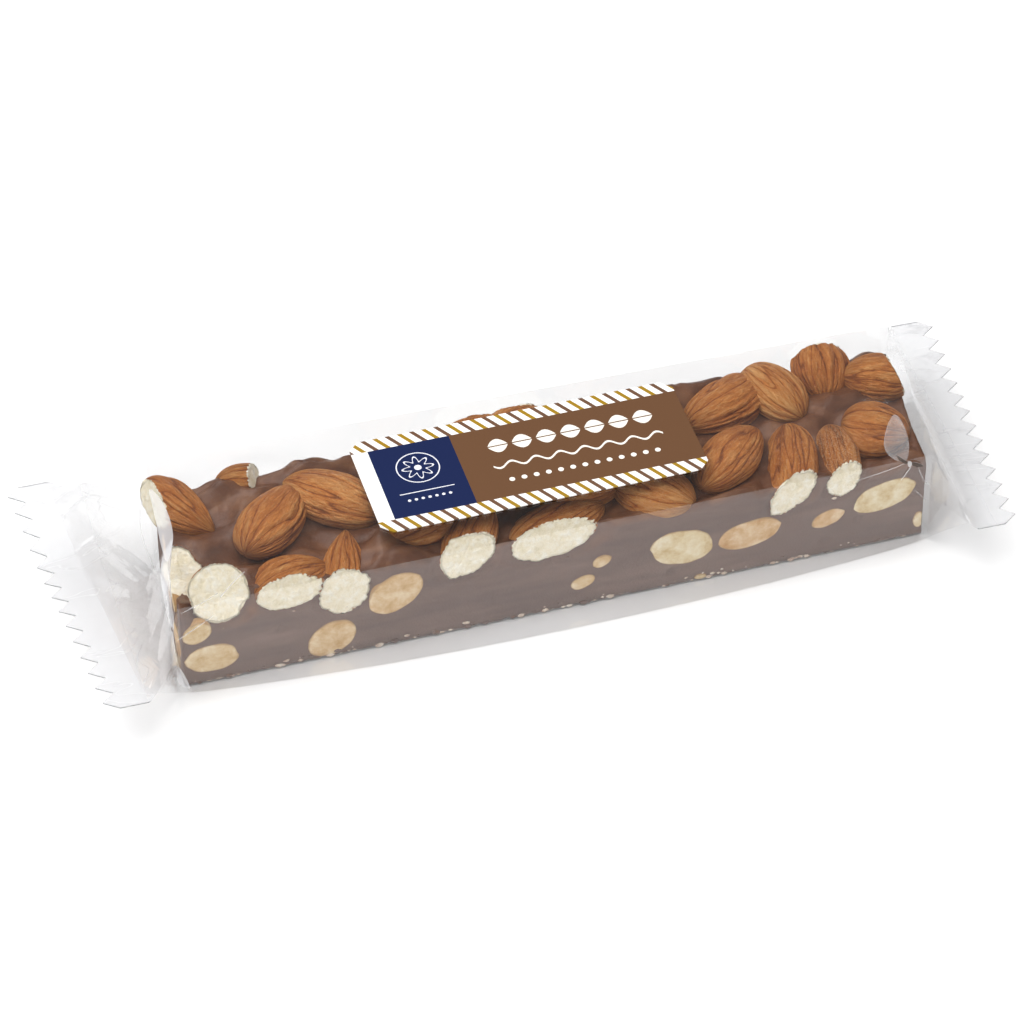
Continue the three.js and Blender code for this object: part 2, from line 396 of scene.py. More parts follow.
def makeFilm():
    edge = fin["width"] / 2
    even = np.linspace(-edge, edge, fin["teeth"] * filmMesh["pointsPerTooth"] + 1)
    ears = np.linspace(edge - fin["earFold"], edge, filmMesh["earSteps"] + 1)
    across = np.unique(np.round(np.concatenate([even, ears, -ears]), 5))
    tooth = np.abs(((across + edge) / (2 * edge) * fin["teeth"] * 2 + 1) % 2 - 1)  # 0 in a valley, 1 at a tip
    stations = filmStations()
    layers = [[filmRow(side, across, tooth, station) for station in stations] for side in (1, -1)]
    points = np.array(layers).reshape(-1, 3)
    count, width = len(stations), len(across)
    lower = count * width  # from a point of the upper layer to the one below it
    faces, kinds = [], []  # kind 0 is film and kind 1 its cut edge, grey with painted shade
    for r in range(count - 1):
        shut = max(stations[r][3], stations[r + 1][3]) < filmMesh["shut"]
        for a in range(r * width, (r + 1) * width - 1):
            b = a + lower
            faces.append((a, a + width, a + width + 1, a + 1)[::-1])
            faces.append((b, b + width, b + width + 1, b + 1))
            kinds += [0, 0]
        for a, flip in ((r * width, False), ((r + 1) * width - 1, True)):
            face = (a, a + width, a + width + lower, a + lower)
            faces.append(face[::-1] if flip else face)
            # a shut fin's front and back edges get the grey knife edge too, as painted shade along them
            kinds.append(1 if shut else 0)
    for r, flip in ((0, True), (count - 1, False)):
        for a in range(r * width, (r + 1) * width - 1):
            face = (a, a + 1, a + 1 + lower, a + lower)
            faces.append(face[::-1] if flip else face)
            # painted shade: only the flank of each tooth that faces the front gets the grey knife edge, as
            # the shadow along it
            outwards = (points[a + 1][0] - points[a][0]) * (1 if r else -1)
            kinds.append(1 if outwards > filmMesh["flank"] else 0)
    piece = addPiece("filmPack", points, faces, [clearFilmMaterial(), filmEdgePaintedShadeMaterial()],
                     kinds)
    faceOutwards(piece, weld=0.0001)
    piece.data.set_sharp_from_angle(angle=math.radians(filmMesh["creaseAngle"]))
    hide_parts("wrapper")


# folded film: the same film where it lies double or is pinched. Each sharp crease turns milky, since
# the drawn film goes white where it is bent hard, and that white is partly a painted highlight for the glints
# along the folds.

foldFinishes = {  # the haze's colour, how much shows through and how much is mirrored
    "doubledFilm": ("#eef0f2", 0.78, 0.09),
    "creasedFilm": ("#f8f8fa", 0.60, 0.10),
    # painted shade: the knot's film is dark brown and nearly opaque, for the shade in its folds
    "knotFilmPaintedShade": ("#43372e", 0.15, 0.03),
    # partly painted highlight: the creases' white haze also stands for glints along the folds
    "whitenedCreaseHighlight": ("#f2f0f0", 0.62, 0.22),
}


def foldedFilmMaterial(name, hazeColour, seeThrough, mirrored):
    material, tree = newMaterial(name)
    place = addNode(tree, "TexCoord").outputs["Object"]
    wave = addNode(tree, "TexNoise", {"Vector": place, "Scale": 320.0, "Detail": 2.0})
    bump = addNode(tree, "Bump", {"Height": wave, "Strength": 0.5, "Distance": 0.0006})
    through = addNode(tree, "BsdfTransparent", {"Color": (0.98, 0.98, 0.985, 1)})
    haze = addNode(tree, "BsdfDiffuse", {"Color": linear(hazeColour)})
    gloss = addNode(tree, "BsdfGlossy", {"Color": (1, 1, 1, 1), "Roughness": 0.12, "Normal": bump})
    body = addNode(tree, "MixShader", {0: 1 - seeThrough, 1: through, 2: haze})
    whole = addNode(tree, "MixShader", {0: mirrored, 1: body, 2: gloss})
    addNode(tree, "OutputMaterial", {"Surface": whole})
    return material


# each lobe is a flap of doubled film, or part of the knot where a pinch of film has gathered, painted dark
# brown there as the shade in its folds: its finish and its outline in mm.
# Each crease is a line, its width and its lean.
folds = {
    "shares": (1.0, 0.92, 0.75, 0.5, 0.25),  # rings of points in a lobe, from its rim inwards
    "forward": 0.05, "puff": 0.12,
    "turned": 0.55, "turnedWidth": 0.16,  # share of a lobe's rim that is turned over, and how wide
    "creaseWidth": 0.5, "creaseHeight": 0.35,  # shares of the widths below
    "fewPoints": 12,  # a crease with fewer is rounded off
    "highest": 28.6,
    "lobes": [
        ("doubledFilm", [
            (81.5, -8.5, 28.3), (79.3, -10.8, 28.3), (77.7, -13.4, 28.2), (76.5, -15.4, 27.5),
            (76.2, -17.1, 26.1), (77.0, -18.3, 25.0), (78.3, -19.2, 24.2), (80.3, -19.5, 23.4),
            (81.4, -18.1, 25.1), (81.9, -16.3, 26.8), (82.0, -12.7, 28.2)]),
        ("creasedFilm", [
            (-78.2, 14.8, 28.3), (-76.5, 10.4, 28.3), (-76.0, 5.4, 28.3), (-76.4, -1.2, 28.3),
            (-77.9, -5.8, 28.3), (-80.0, -10.2, 28.2), (-79.9, -5.0, 28.1), (-79.2, 2.0, 28.1),
            (-78.6, 9.0, 28.1)]),
        ("creasedFilm", [
            (-76.6, -1.4, 28.3), (-77.9, -5.9, 28.3), (-80.0, -10.4, 28.2), (-80.3, -14.4, 28.0),
            (-81.0, -17.6, 25.6), (-81.3, -19.4, 23.2), (-81.1, -19.5, 18.0), (-82.0, -19.0, 19.5),
            (-82.3, -15.0, 24.5), (-81.2, -8.0, 27.2)]),
        ("creasedFilm", [
            (-80.9, -19.6, 8.9), (-78.3, -20.2, 0.8), (-80.0, -19.9, 1.6), (-81.4, -19.0, 3.3)]),
        ("knotFilmPaintedShade", [
            (80.9, -19.75, 23.5), (79.9, -19.55, 24.4), (78.7, -18.7, 25.2), (78.1, -18.4, 25.5),
            (78.9, -19.3, 24.2), (80.0, -19.75, 23.3)]),
        ("knotFilmPaintedShade", [
            (81.1, -19.8, 23.5), (82.2, -19.75, 23.4), (83.6, -19.8, 22.5), (84.4, -19.8, 21.6),
            (82.9, -19.85, 21.8), (81.7, -19.85, 22.5)]),
        ("creasedFilm", [
            (80.4, -19.8, 23.8), (81.0, -19.85, 24.2), (81.6, -19.85, 23.3), (81.3, -19.9, 22.3),
            (80.7, -19.9, 22.4)]),
    ],
    "creases": [
        ([(80.8, -19.55, 23.6), (78.3, -19.55, 22.8), (75.6, -19.55, 22.2), (72.7, -19.5, 21.6),
         (69.0, -19.5, 21.1)], 0.34, (0, -1, 0.2)),
        ([(81.4, -19.8, 22.2), (80.4, -19.7, 20.4), (79.3, -19.6, 18.6)], 0.6, (0, -1, 0)),
        ([(83.0, -19.8, 21.6), (84.0, -19.7, 19.0), (84.7, -19.7, 17.2), (86.1, -19.6, 15.6)],
         0.3, (0, -1, 0)),
        ([(82.7, -19.7, 15.1), (84.2, -19.7, 13.0), (85.6, -19.6, 11.1)], 0.22, (0, -1, 0)),
        ([(-71.0, -19.0, 24.6), (-69.0, -17.9, 25.6), (-66.9, -16.7, 26.6), (-64.8, -15.8, 27.4)],
         0.5, (0, -0.7, 0.7)),
        ([(-79.6, -19.4, 22.6), (-77.6, -19.4, 23.4), (-74.3, -19.1, 24.4), (-71.3, -18.3, 25.2)],
         0.3, (0, -0.7, 0.7)),
        ([(-72.8, -19.6, 20.4), (-76.1, -19.6, 18.1), (-78.8, -19.6, 16.5), (-81.0, -19.5, 15.0)],
         0.55, (0, -1, 0)),
        ([(-81.0, -19.5, 24.0), (-81.6, -19.6, 18.0), (-81.4, -19.7, 12.0), (-80.9, -19.9, 8.0),
         (-79.6, -20.4, 3.6), (-78.3, -20.8, 0.6)], 0.4, (-0.3, -1, 0)),
        ([(-81.0, -19.7, 9.0), (-82.3, -19.6, 5.4), (-83.2, -19.8, 2.8)], 0.35, (-0.3, -1, 0)),
        ([(-79.2, 14.0, 26.6), (-81.0, 11.0, 24.0), (-81.8, 6.0, 22.2), (-81.6, 0.0, 22.4),
         (-81.6, -7.0, 22.0)], 0.5, (-0.8, 0, 0.6)),
    ],
}


def roundOff(line, closed):
    for _ in range(2):
        here = line if closed else line[:-1]
        after = np.roll(line, -1, 0) if closed else line[1:]
        cut = np.stack([0.75 * here + 0.25 * after, 0.25 * here + 0.75 * after], 1).reshape(-1, 3)
        line = cut if closed else np.concatenate([line[:1], cut, line[-1:]])
    return line


def makeFolds():
    points, faces, kinds = [], [], []
    finishes, creases = list(foldFinishes), list(folds["creases"])
    for finish, outline in folds["lobes"]:
        rim = roundOff(np.array(outline), True)
        middle, count, base = rim.mean(0), len(rim), len(points)
        for share in folds["shares"]:
            lift = [0, -folds["forward"], folds["puff"] * (1 - share ** 3)]
            points += [tuple(p) for p in middle + (rim - middle) * share + lift]
        hub = len(points)
        points.append(tuple(middle + [0, -folds["forward"], folds["puff"]]))
        faces += ringFaces(base, len(folds["shares"]), count)
        faces += [(hub - count + i, hub - count + (i + 1) % count, hub) for i in range(count)]
        kinds += [finishes.index(finish)] * (len(faces) - len(kinds))
        # the turned edge of the flap is a crease too
        creases.append((rim[: int(count * folds["turned"])], folds["turnedWidth"], (0, -0.3, 1)))
    for line, width, lean in creases:
        line, lean = np.array(line), np.array(lean) / np.linalg.norm(lean)
        if len(line) < folds["fewPoints"]:
            line = roundOff(line, False)
        side = np.cross(np.gradient(line, axis=0), lean)
        side /= np.linalg.norm(side, axis=1)[:, None]
        taper = np.sin(np.pi * np.linspace(0.04, 0.96, len(line)))[:, None] ** 0.5
        width *= folds["creaseWidth"]
        half, ridge = side * width / 2 * taper, line + lean * width * folds["creaseHeight"] * taper
        base = len(points)
        for trio in zip(line - half, ridge, line + half):
            points += [tuple(p) for p in trio]
        for a in range(base, len(points) - 3, 3):
            faces += [(a, a + 1, a + 4, a + 3), (a + 1, a + 2, a + 5, a + 4)]
            kinds += [finishes.index("whitenedCreaseHighlight")] * 2
    points = np.array(points)
    points[:, 2] = np.minimum(points[:, 2], folds["highest"])
    materials = [foldedFilmMaterial(name, *foldFinishes[name]) for name in finishes]
    addPiece("filmFolds", points, faces, materials, kinds)


# milk chocolate nougat: poured round the nuts, left to set, then knife-cut. The poured top is satin, and
# the cut sides are dull and a little grey from the drag of the knife.

def chocolateMaterial():
    material, tree = newMaterial("milkChocolateNougat")
    place = addNode(tree, "TexCoord").outputs["Object"]
    mm = addNode(tree, "VectorMath", {0: place, "Scale": 1000.0}, operation="SCALE")
    up = addNode(tree, "SeparateXYZ", {0: addNode(tree, "NewGeometry").outputs["Normal"]}).outputs["Z"]
    poured = addNode(tree, "MapRange", {"Value": up, "From Min": 0.25, "From Max": 0.65})
    cloud = addNode(tree, "TexNoise", {"Vector": mm, "Scale": 0.14, "Detail": 5.0, "Distortion": 0.8})
    topColour = addNode(tree, "ValToRGB", {"Fac": cloud},
                        stops=[(0.30, "#4a2b1b"), (0.50, "#603c27"), (0.70, "#785136")])
    smear = addNode(tree, "Mapping", {"Vector": mm, "Scale": (0.05, 0.3, 0.28)})
    drag = addNode(tree, "TexNoise", {"Vector": smear, "Scale": 1.0, "Detail": 5.0, "Roughness": 0.6})
    cutColour = addNode(tree, "ValToRGB", {"Fac": drag},
                        stops=[(0.30, "#5c4136"), (0.55, "#6a4e42"), (0.75, "#785d51")])
    colour = addNode(tree, "MixRGB", {"Fac": poured, "Color1": cutColour, "Color2": topColour})
    dull = addNode(tree, "MapRange", {"Value": poured, "To Min": 0.62, "To Max": 0.27})
    patch = addNode(tree, "TexNoise", {"Vector": mm, "Scale": 0.35, "Detail": 3.0})
    rough = addNode(tree, "Math", {0: patch, 1: 0.16, 2: dull}, operation="MULTIPLY_ADD")
    grain = addNode(tree, "TexNoise", {"Vector": mm, "Scale": 1.6, "Detail": 4.0, "Roughness": 0.65})
    scraped = addNode(tree, "MapRange", {"Value": poured, "To Min": 1.6, "To Max": 0.4})
    height = addNode(tree, "Math", {0: drag, 1: scraped, 2: grain}, operation="MULTIPLY_ADD")
    bump = addNode(tree, "Bump", {"Height": height, "Strength": 0.3, "Distance": 0.0005})
    skin = addNode(tree, "BsdfPrincipled", {"Base Color": colour, "Roughness": rough, "IOR": 1.52,
                                            "Normal": bump})
    addNode(tree, "OutputMaterial", {"Surface": skin})
    return material


block = {
    "step": 0.7,
    "foot": 0.35,  # the block stands on the film's lower layer
    "highest": 27.4,
    # relief of the poured top: heights, then sizes
    "mound": 1.6, "moundSize": 10.5, "moundHeight": 1.25,
    "swell": 0.85, "swellSize": (6.5, 4.5, 5),
    "dimple": 0.14, "dimpleSize": 1.9,
    "pourLine": 0.4, "pourLineSize": (12, 8, 8), "pourLineWidth": 0.09,
    "tear": 0.8, "tearSize": (3.0, 2.0, 2), "tearAt": (-46, 17), "tearReach": (11, 4),
    "trench": 0.8, "trenchWidth": 1.3,
    # the knife's marks: the front and the back are clean cuts, and the ends are chopped less evenly
    "sideWave": 0.10, "sideWaveSize": (30, 9, 5), "endWave": 0.12, "endWaveSize": 7,
    "sideGrain": 0.05, "endGrain": 0.06, "grainSize": 2.2,
    "gouge": 0.9, "gougeWidth": 0.7,
    # edges: how far in they roll, over what height and what depth
    "frontRoll": 1.2, "backRoll": 1.4, "rollHeight": 2.4, "rollPower": 2.5, "rollDepth": 6,
    "ragged": 0.45, "raggedHeight": 0.9,
}


# the points and quads on the outside of a box divided by three counts, as shares from 0 to 1
def boxSkin(*counts):
    index, points, faces = {}, [], []

    def at(steps):
        key = tuple(steps[axis] for axis in range(3))
        if key not in index:
            index[key] = len(points)
            points.append(tuple(step / count for step, count in zip(key, counts)))
        return index[key]

    corners = [(0, 0), (0, 1), (1, 1), (1, 0)]
    # the two sides that the axis fixed runs through, with their faces turned outwards
    for fixed, first, second, turned in ((2, 0, 1, False), (1, 0, 2, True), (0, 1, 2, False)):
        for i in range(counts[first]):
            for j in range(counts[second]):
                for end in (0, counts[fixed]):
                    order = corners if (end == 0) != turned else corners[:1] + corners[:0:-1]
                    faces.append([at({fixed: end, first: i + di, second: j + dj}) for di, dj in order])
    return np.array(points), faces


# an almond on top: its middle, its length, width and thickness, then the tip's heading, how far the tip is
# raised and how far the nut is rolled, in degrees. tip is how pointed it is, and 1 would be a sharp tip.
# tone is how pale the skin is and dust how much pale dust it carries. cuts are planes that the knife took
# through it: point and normal. front is a cut along the front of the bar: the height where it leaves the
# front plane, and how far it leans back.
def almond(at, size, turn, tip=0.58, tone=0.0, dust=0.0, cuts=(), front=None):
    return {"at": at, "size": size, "turn": turn, "tip": tip, "tone": tone, "dust": dust, "cuts": cuts,
            "front": front}


almonds = [
    almond((-72.6, 12.0, 22.3), (20.4, 11.0, 9.2), (-55, -6, 8), tip=0.78, tone=-0.1,
           cuts=[((-77.2, 10, 20), (-0.94, -0.22, 0.26))]),
    almond((-57.2, 16.4, 22.9), (12.2, 7.6, 6.2), (170, 0, -12), tone=0.2,
           cuts=[((-54.6, 16, 23), (0.85, -0.35, 0.4))]),
    almond((-54.2, 2.2, 22.8), (21.8, 13.4, 9.6), (45, 3, -8)),
    almond((-40.2, 5.6, 22.7), (23.0, 14.4, 9.6), (142, 4, 6), tone=0.8),
    almond((-54.6, -13.8, 20.1), (17.2, 12.2, 8.4), (13, 3, 6), front=(15.2, 13)),
    almond((-43.1, -13.9, 18.6), (21.4, 10.8, 9.0), (74, 22, 0), tip=0.8, front=(12.8, 12)),
    almond((-70.2, -15.2, 21.8), (13.2, 12.8, 9.6), (-86, -62, 0), front=(14.2, 24)),
    almond((-76.1, -8.6, 21.0), (15.0, 7.8, 8.6), (-80, -50, 0),
           cuts=[((-76.0, -8.5, 21.0), (-0.45, -0.6, 0.66))]),
    almond((-15.2, -12.4, 20.2), (21.0, 12.0, 9.2), (58, 8, -18), front=(14.8, 18)),
    almond((-22.4, -5.6, 22.2), (20.0, 12.4, 9.0), (30, 0, 0)),
    almond((4.0, -13.8, 19.7), (23.2, 12.6, 8.8), (13, 6, 8), tone=0.1, front=(14.2, 16)),
    almond((10.6, -5.2, 22.0), (20.0, 12.8, 9.0), (-12, 0, 0)),
    # painted light: this nut's skin is made paler, to make up for the shadow that the label casts on it
    almond((26.6, -10.6, 21.4), (18.6, 14.8, 9.4), (-40, -4, 0), tone=1.0),
    almond((44.6, -6.5, 22.6), (21.6, 13.2, 9.6), (40, 2, -10)),
    almond((48.6, 9.3, 22.9), (22.2, 13.4, 9.6), (205, 0, 6)),
    almond((60.9, 10.1, 23.0), (18.2, 13.4, 9.6), (-66, -6, -8), tone=1.2),
    almond((72.9, 14.3, 22.3), (14.6, 13.0, 9.2), (-98, -22, 0), tone=-0.3,
           cuts=[((0, 18.3, 22), (0, 1, 0))]),
    almond((83.8, 9.0, 22.6), (15.4, 12.4, 9.6), (160, 0, -4), cuts=[((88.2, 8, 20), (0.97, 0.1, 0.22))]),
    almond((77.9, -6.8, 22.5), (15.2, 14.2, 9.8), (-24, -8, 8)),
    almond((57.1, -10.4, 19.8), (24.4, 14.6, 7.8), (73, 10, -40), tone=-0.2, dust=0.3, front=(14.4, 12)),
    almond((67.7, -11.3, 20.5), (19.0, 10.6, 7.2), (84, 10, -40), tone=-0.6, dust=1.1, front=(15.4, 14)),
    almond((-5.6, 15.6, 22.8), (15.0, 11.4, 9.2), (165, 0, 0), cuts=[((0, 18.4, 20), (0, 1, 0.05))]),
    almond((3.4, 15.9, 22.9), (16.0, 11.4, 9.4), (20, 0, 0), cuts=[((0, 18.4, 20), (0, 1, 0.05))]),
    almond((24.0, 11.0, 22.2), (20.0, 12.4, 8.8), (-40, 0, 0)),
    almond((-20.0, 10.5, 22.2), (20.0, 12.4, 8.8), (-40, 0, 0)),
]
mounds = [  # where the chocolate stands higher or lower: x, y, radius along and across, height
    (-66, 15, 6, 4, 2.2), (-64, 3, 5, 6, 1.2), (-66, -5, 6, 4, -1.6), (-49, 16, 8, 4, 2.6),
    (-47, -4, 4, 4, -2.2), (-34, -10, 5, 5, 1.2), (-31, -15, 5, 3, 0.8), (-9, -14, 4, 4, -1.2),
    (34, 16, 7, 4, 2.4), (37, -15, 4, 3, -1.0), (47, 17, 8, 3, 2.4), (66, 3, 6, 6, 0.6),
    (68, -2, 4, 5, -1.4), (79, 17, 4, 3, 1.8), (16, -16, 5, 3, -0.8), (84, 0, 3, 5, -0.8),
    (60, -6, 3, 3, -1.6), (49, 0, 5, 3, -1.8), (-57, 11, 5, 3, 1.0),
]
gouges = [  # small torn places in the front: x, z, tilt and length
    (-11.9, 17.2, 30, 1.6), (-15.4, 15.4, 6, 2.4), (-18.6, 15.0, 20, 1.2), (28.5, 4.2, 15, 1.0),
    (63.5, 4.0, 10, 1.3), (-58.0, 11.0, 25, 0.9), (70.6, 8.6, 0, 0.7),
]


# how high the poured top of the block is: mounds between the nuts, and a trench round each
def topHeight(x, y):
    spot = np.stack([x, y, np.zeros_like(x)], 1)
    z = bar["height"] + block["mound"] * ripple(spot, block["moundSize"], 1)
    z += block["swell"] * ripple(spot, block["swellSize"], 2)
    z += block["dimple"] * ripple(spot, block["dimpleSize"], 4)
    # lines where the pour folded over, and a torn crest near the back
    folded = ripple(spot, block["pourLineSize"], 6) / block["pourLineWidth"]
    z -= block["pourLine"] * np.exp(-folded ** 2)
    (tearX, tearY), (reachX, reachY) = block["tearAt"], block["tearReach"]
    torn = np.exp(-((x - tearX) / reachX) ** 2 - ((y - tearY) / reachY) ** 2)
    z += block["tear"] * ripple(spot, block["tearSize"], 13) * torn
    dip = np.zeros_like(x)
    for nut in almonds:
        length, width, _ = nut["size"]
        along, aside = alongAndAside(x, y, nut["at"], nut["turn"][0])
        away = (np.sqrt((along / (length / 2)) ** 2 + (aside / (width / 2)) ** 2) - 1) * width / 2
        dip = np.maximum(dip, np.exp(-(np.clip(away, 0, None) / block["trenchWidth"]) ** 2))
    for mx, my, along, aside, high in mounds:
        z += block["moundHeight"] * high * np.exp(-((x - mx) / along) ** 2 - ((y - my) / aside) ** 2)
    return np.minimum(z - block["trench"] * dip, block["highest"])


def nutPlace(nut):
    heading, pitch, roll = (math.radians(v) for v in nut["turn"])
    return (Matrix.Translation(nut["at"]) @ Matrix.Rotation(heading, 4, "Z")
            @ Matrix.Rotation(-pitch, 4, "Y") @ Matrix.Rotation(roll, 4, "X"))


knife = {"past": 0.12, "flush": 0.14, "trim": 0.3, "near": 1.12, "far": 1.5}  # mm, and shares of a nut


def nutCuts(nut):  # the planes that the knife took through a nut, as points and unit normals
    planes = [(Vector(point), Vector(normal).normalized()) for point, normal in nut["cuts"]]
    if nut["front"]:
        low, lean = nut["front"][0], math.radians(nut["front"][1])
        point = Vector((0, -bar["halfWidth"] - knife["past"], low))
        planes.append((point, Vector((0, -math.cos(lean), math.sin(lean)))))
    return planes


# takes the chocolate back to where the knife went through a nut, so that the cut face shows
def trimToCuts(points):
    for nut in almonds:
        planes = nutCuts(nut)
        if not planes:
            continue
        back = np.array(nutPlace(nut).inverted())
        local = points @ back[:3, :3].T + back[:3, 3]
        span = np.sqrt(((local / (np.array(nut["size"]) / 2)) ** 2).sum(1))
        near = 1 - ease(span, knife["near"], knife["far"])
        for point, normal in planes:
            normal = np.array(normal)
            over = np.clip((points - np.array(point)) @ normal + knife["trim"], 0, None) * near
            points = points - over[:, None] * normal
    return points


def makeBlock():
    length, width, half = bar["right"] - bar["left"], 2 * bar["halfWidth"], bar["halfWidth"]
    shares, faces = boxSkin(*(round(size / block["step"]) for size in (length, width, bar["height"])))
    x = bar["left"] + shares[:, 0] * length
    y = -half + shares[:, 1] * width
    top = topHeight(x, y)
    z = block["foot"] + shares[:, 2] * (top - block["foot"])
    spot = np.stack([x, y, z], 1)
    front = shares[:, 1] == 0
    sides = front | (shares[:, 1] == 1)
    ends = (shares[:, 0] == 0) | (shares[:, 0] == 1)
    sideMarks = block["sideWave"] * ripple(spot, block["sideWaveSize"], 5)
    endMarks = block["endWave"] * ripple(spot, block["endWaveSize"], 9)
    y = y + np.where(sides, sideMarks + block["sideGrain"] * ripple(spot, block["grainSize"], 6), 0)
    x = x + np.where(ends, endMarks + block["endGrain"] * ripple(spot, block["grainSize"], 10), 0)
    for gx, gz, tilt, long in gouges:
        along, aside = alongAndAside(x, z, (gx, gz), tilt)
        dent = block["gouge"] * np.exp(-(along / long) ** 2 - (aside / block["gougeWidth"]) ** 2)
        y = y + np.where(front, dent, 0)
    # the upper edges are rolled over a little
    toTop = np.clip(1 - (top - z) / block["rollHeight"], 0, 1) ** block["rollPower"]
    y = y + block["frontRoll"] * toTop * (1 - ease(y, -half, -half + block["rollDepth"]))
    y = y - block["backRoll"] * toTop * ease(y, half - block["rollDepth"], half)
    # the lower edge is ragged where the knife met the board
    lowEdge = np.exp(-((z - block["foot"]) / block["raggedHeight"]) ** 2) * (sides | ends)
    z = z + lowEdge * block["ragged"] * np.clip(ripple(spot, 1.9, 11) + 0.4 * ripple(spot, 0.9, 12), 0, 1)
    points = trimToCuts(np.stack([x + skewAt(y), y, z], 1))
    addPiece("nougatBlock", points, faces, [chocolateMaterial()])


makeBlock()
print("nougat block made")


# almonds: whole sweet almonds in their papery brown skins, dried and roasted, so that the skin wrinkles
# lengthwise and carries some pale dust. Cut through, the kernel is cream-white and crumbly.

def almondMaterial():
    material, tree = newMaterial("roastedAlmondSkin")
    place = addNode(tree, "Attribute", attribute_name="skin").outputs["Vector"]  # mm, x along the nut
    looks = addNode(tree, "Attribute", attribute_name="look").outputs["Vector"]
    look = addNode(tree, "SeparateXYZ", {0: looks})
    # painted shade and highlight: the ridges that the mesh has are painted paler on top, with a dark line of
    # painted shade in each groove between them
    crest = addNode(tree, "Math", {0: look.outputs["X"]}, operation="ABSOLUTE")
    paintedGrooveShade = addNode(tree, "MapRange", {"Value": crest, "From Max": 0.09, "To Min": -0.24, "To Max": 0.0},
                     interpolation_type="SMOOTHSTEP")
    paintedCrestHighlight = addNode(tree, "MapRange", {"Value": crest, "From Max": 0.42, "To Min": -0.06, "To Max": 0.08})
    ridges = addNode(tree, "Math", {0: paintedGrooveShade, 1: paintedCrestHighlight}, operation="ADD")
    # fine wrinkles 0.5 mm apart and 2 mm long run over them
    wide = addNode(tree, "Mapping", {"Vector": place, "Scale": (0.45, 2.0, 2.0)})
    wrinkle = addNode(tree, "TexNoise", {"Vector": wide, "Scale": 1.0, "Detail": 5.0, "Roughness": 0.7,
                                         "Distortion": 0.5})
    relief = addNode(tree, "Math", {0: wrinkle, 1: 0.8, 2: ridges}, operation="MULTIPLY_ADD")
    toned = addNode(tree, "Math", {0: look.outputs["Y"], 1: 0.08, 2: relief}, operation="MULTIPLY_ADD")
    skinColour = addNode(tree, "ValToRGB", {"Fac": toned}, stops=[
        (0.10, "#7a4420"), (0.28, "#a8622d"), (0.44, "#c47d3e"), (0.62, "#dca263")])
    broad = addNode(tree, "TexNoise", {"Vector": place, "Scale": 0.2, "Detail": 2.0})
    tint = addNode(tree, "MapRange", {"Value": broad, "From Min": 0.4, "From Max": 0.7, "To Max": 0.4})
    warmer = addNode(tree, "MixRGB", {"Fac": tint, "Color1": skinColour, "Color2": linear("#a65a22")})
    # papery dust, in grains 0.3 mm across
    grains = addNode(tree, "TexNoise", {"Vector": place, "Scale": 3.2, "Detail": 4.0, "Roughness": 0.7})
    dustier = addNode(tree, "Math", {0: look.outputs["Z"], 1: 0.1, 2: grains}, operation="MULTIPLY_ADD")
    dust = addNode(tree, "MapRange", {"Value": dustier, "From Min": 0.60, "From Max": 0.72, "To Max": 0.6})
    dusty = addNode(tree, "MixRGB", {"Fac": dust, "Color1": warmer, "Color2": linear("#dcb78f")})
    # kernel where the nut is cut, with a ragged edge of torn skin
    cut = addNode(tree, "Attribute", attribute_name="cut").outputs["Fac"]
    tear = addNode(tree, "TexNoise", {"Vector": place, "Scale": 1.5, "Detail": 3.0})
    torn = addNode(tree, "Math", {0: tear, 1: 0.9, 2: cut}, operation="MULTIPLY_ADD")
    bare = addNode(tree, "MapRange", {"Value": torn, "From Min": 0.28, "From Max": 0.38})
    crumb = addNode(tree, "TexNoise", {"Vector": place, "Scale": 0.5, "Detail": 5.0, "Roughness": 0.7})
    kernel = addNode(tree, "ValToRGB", {"Fac": crumb}, stops=[
        (0.28, "#e6d9b6"), (0.48, "#f4e9ce"), (0.68, "#fdf8e9")])
    colour = addNode(tree, "MixRGB", {"Fac": bare, "Color1": dusty, "Color2": kernel})
    kernelRelief = addNode(tree, "Math", {0: crumb, 1: 0.6}, operation="MULTIPLY")
    rough = addNode(tree, "MapRange", {"Value": wrinkle, "From Min": 0.3, "From Max": 0.7,
                                       "To Min": 0.62, "To Max": 0.50})
    height = addNode(tree, "MixRGB", {"Fac": bare, "Color1": wrinkle, "Color2": kernelRelief})
    bump = addNode(tree, "Bump", {"Height": height, "Strength": 1.0, "Distance": 0.0013})
    skin = addNode(tree, "BsdfPrincipled", {"Base Color": colour, "Roughness": rough, "IOR": 1.45,
                                            "Normal": bump})
    addNode(tree, "OutputMaterial", {"Surface": skin})
    return material


nutShape = {
    "rings": 57,
    "around": 112,
    "broadPower": 0.48,  # rounds the broad end
    "flatPower": 0.92,  # keeps the nut thick towards its ends
    "lumps": 0.07,
    "lumpSize": (8, 4.5, 4.5),
    "ridge": 0.55,  # mm, how far the ridges stand over the grooves
    "ridgeSize": (18, 1.3, 1.3),
    "sway": 0.7,
    "swaySize": (8, 5, 5),
    "bend": 0.035,
    "skinRound": 4.6,  # half width of an average nut, for the skin's own places
}
cutShape = {
    "shares": (0.94, 0.84, 0.7, 0.52, 0.3),  # rings of points from the rim of a cut inwards
    "chip": 0.3, "chipScale": 1.9, "broadChip": 0.9, "broadChipScale": 0.32,
    "crumb": 0.16, "crumbScale": 0.9, "fineCrumbScale": 2.1,
}


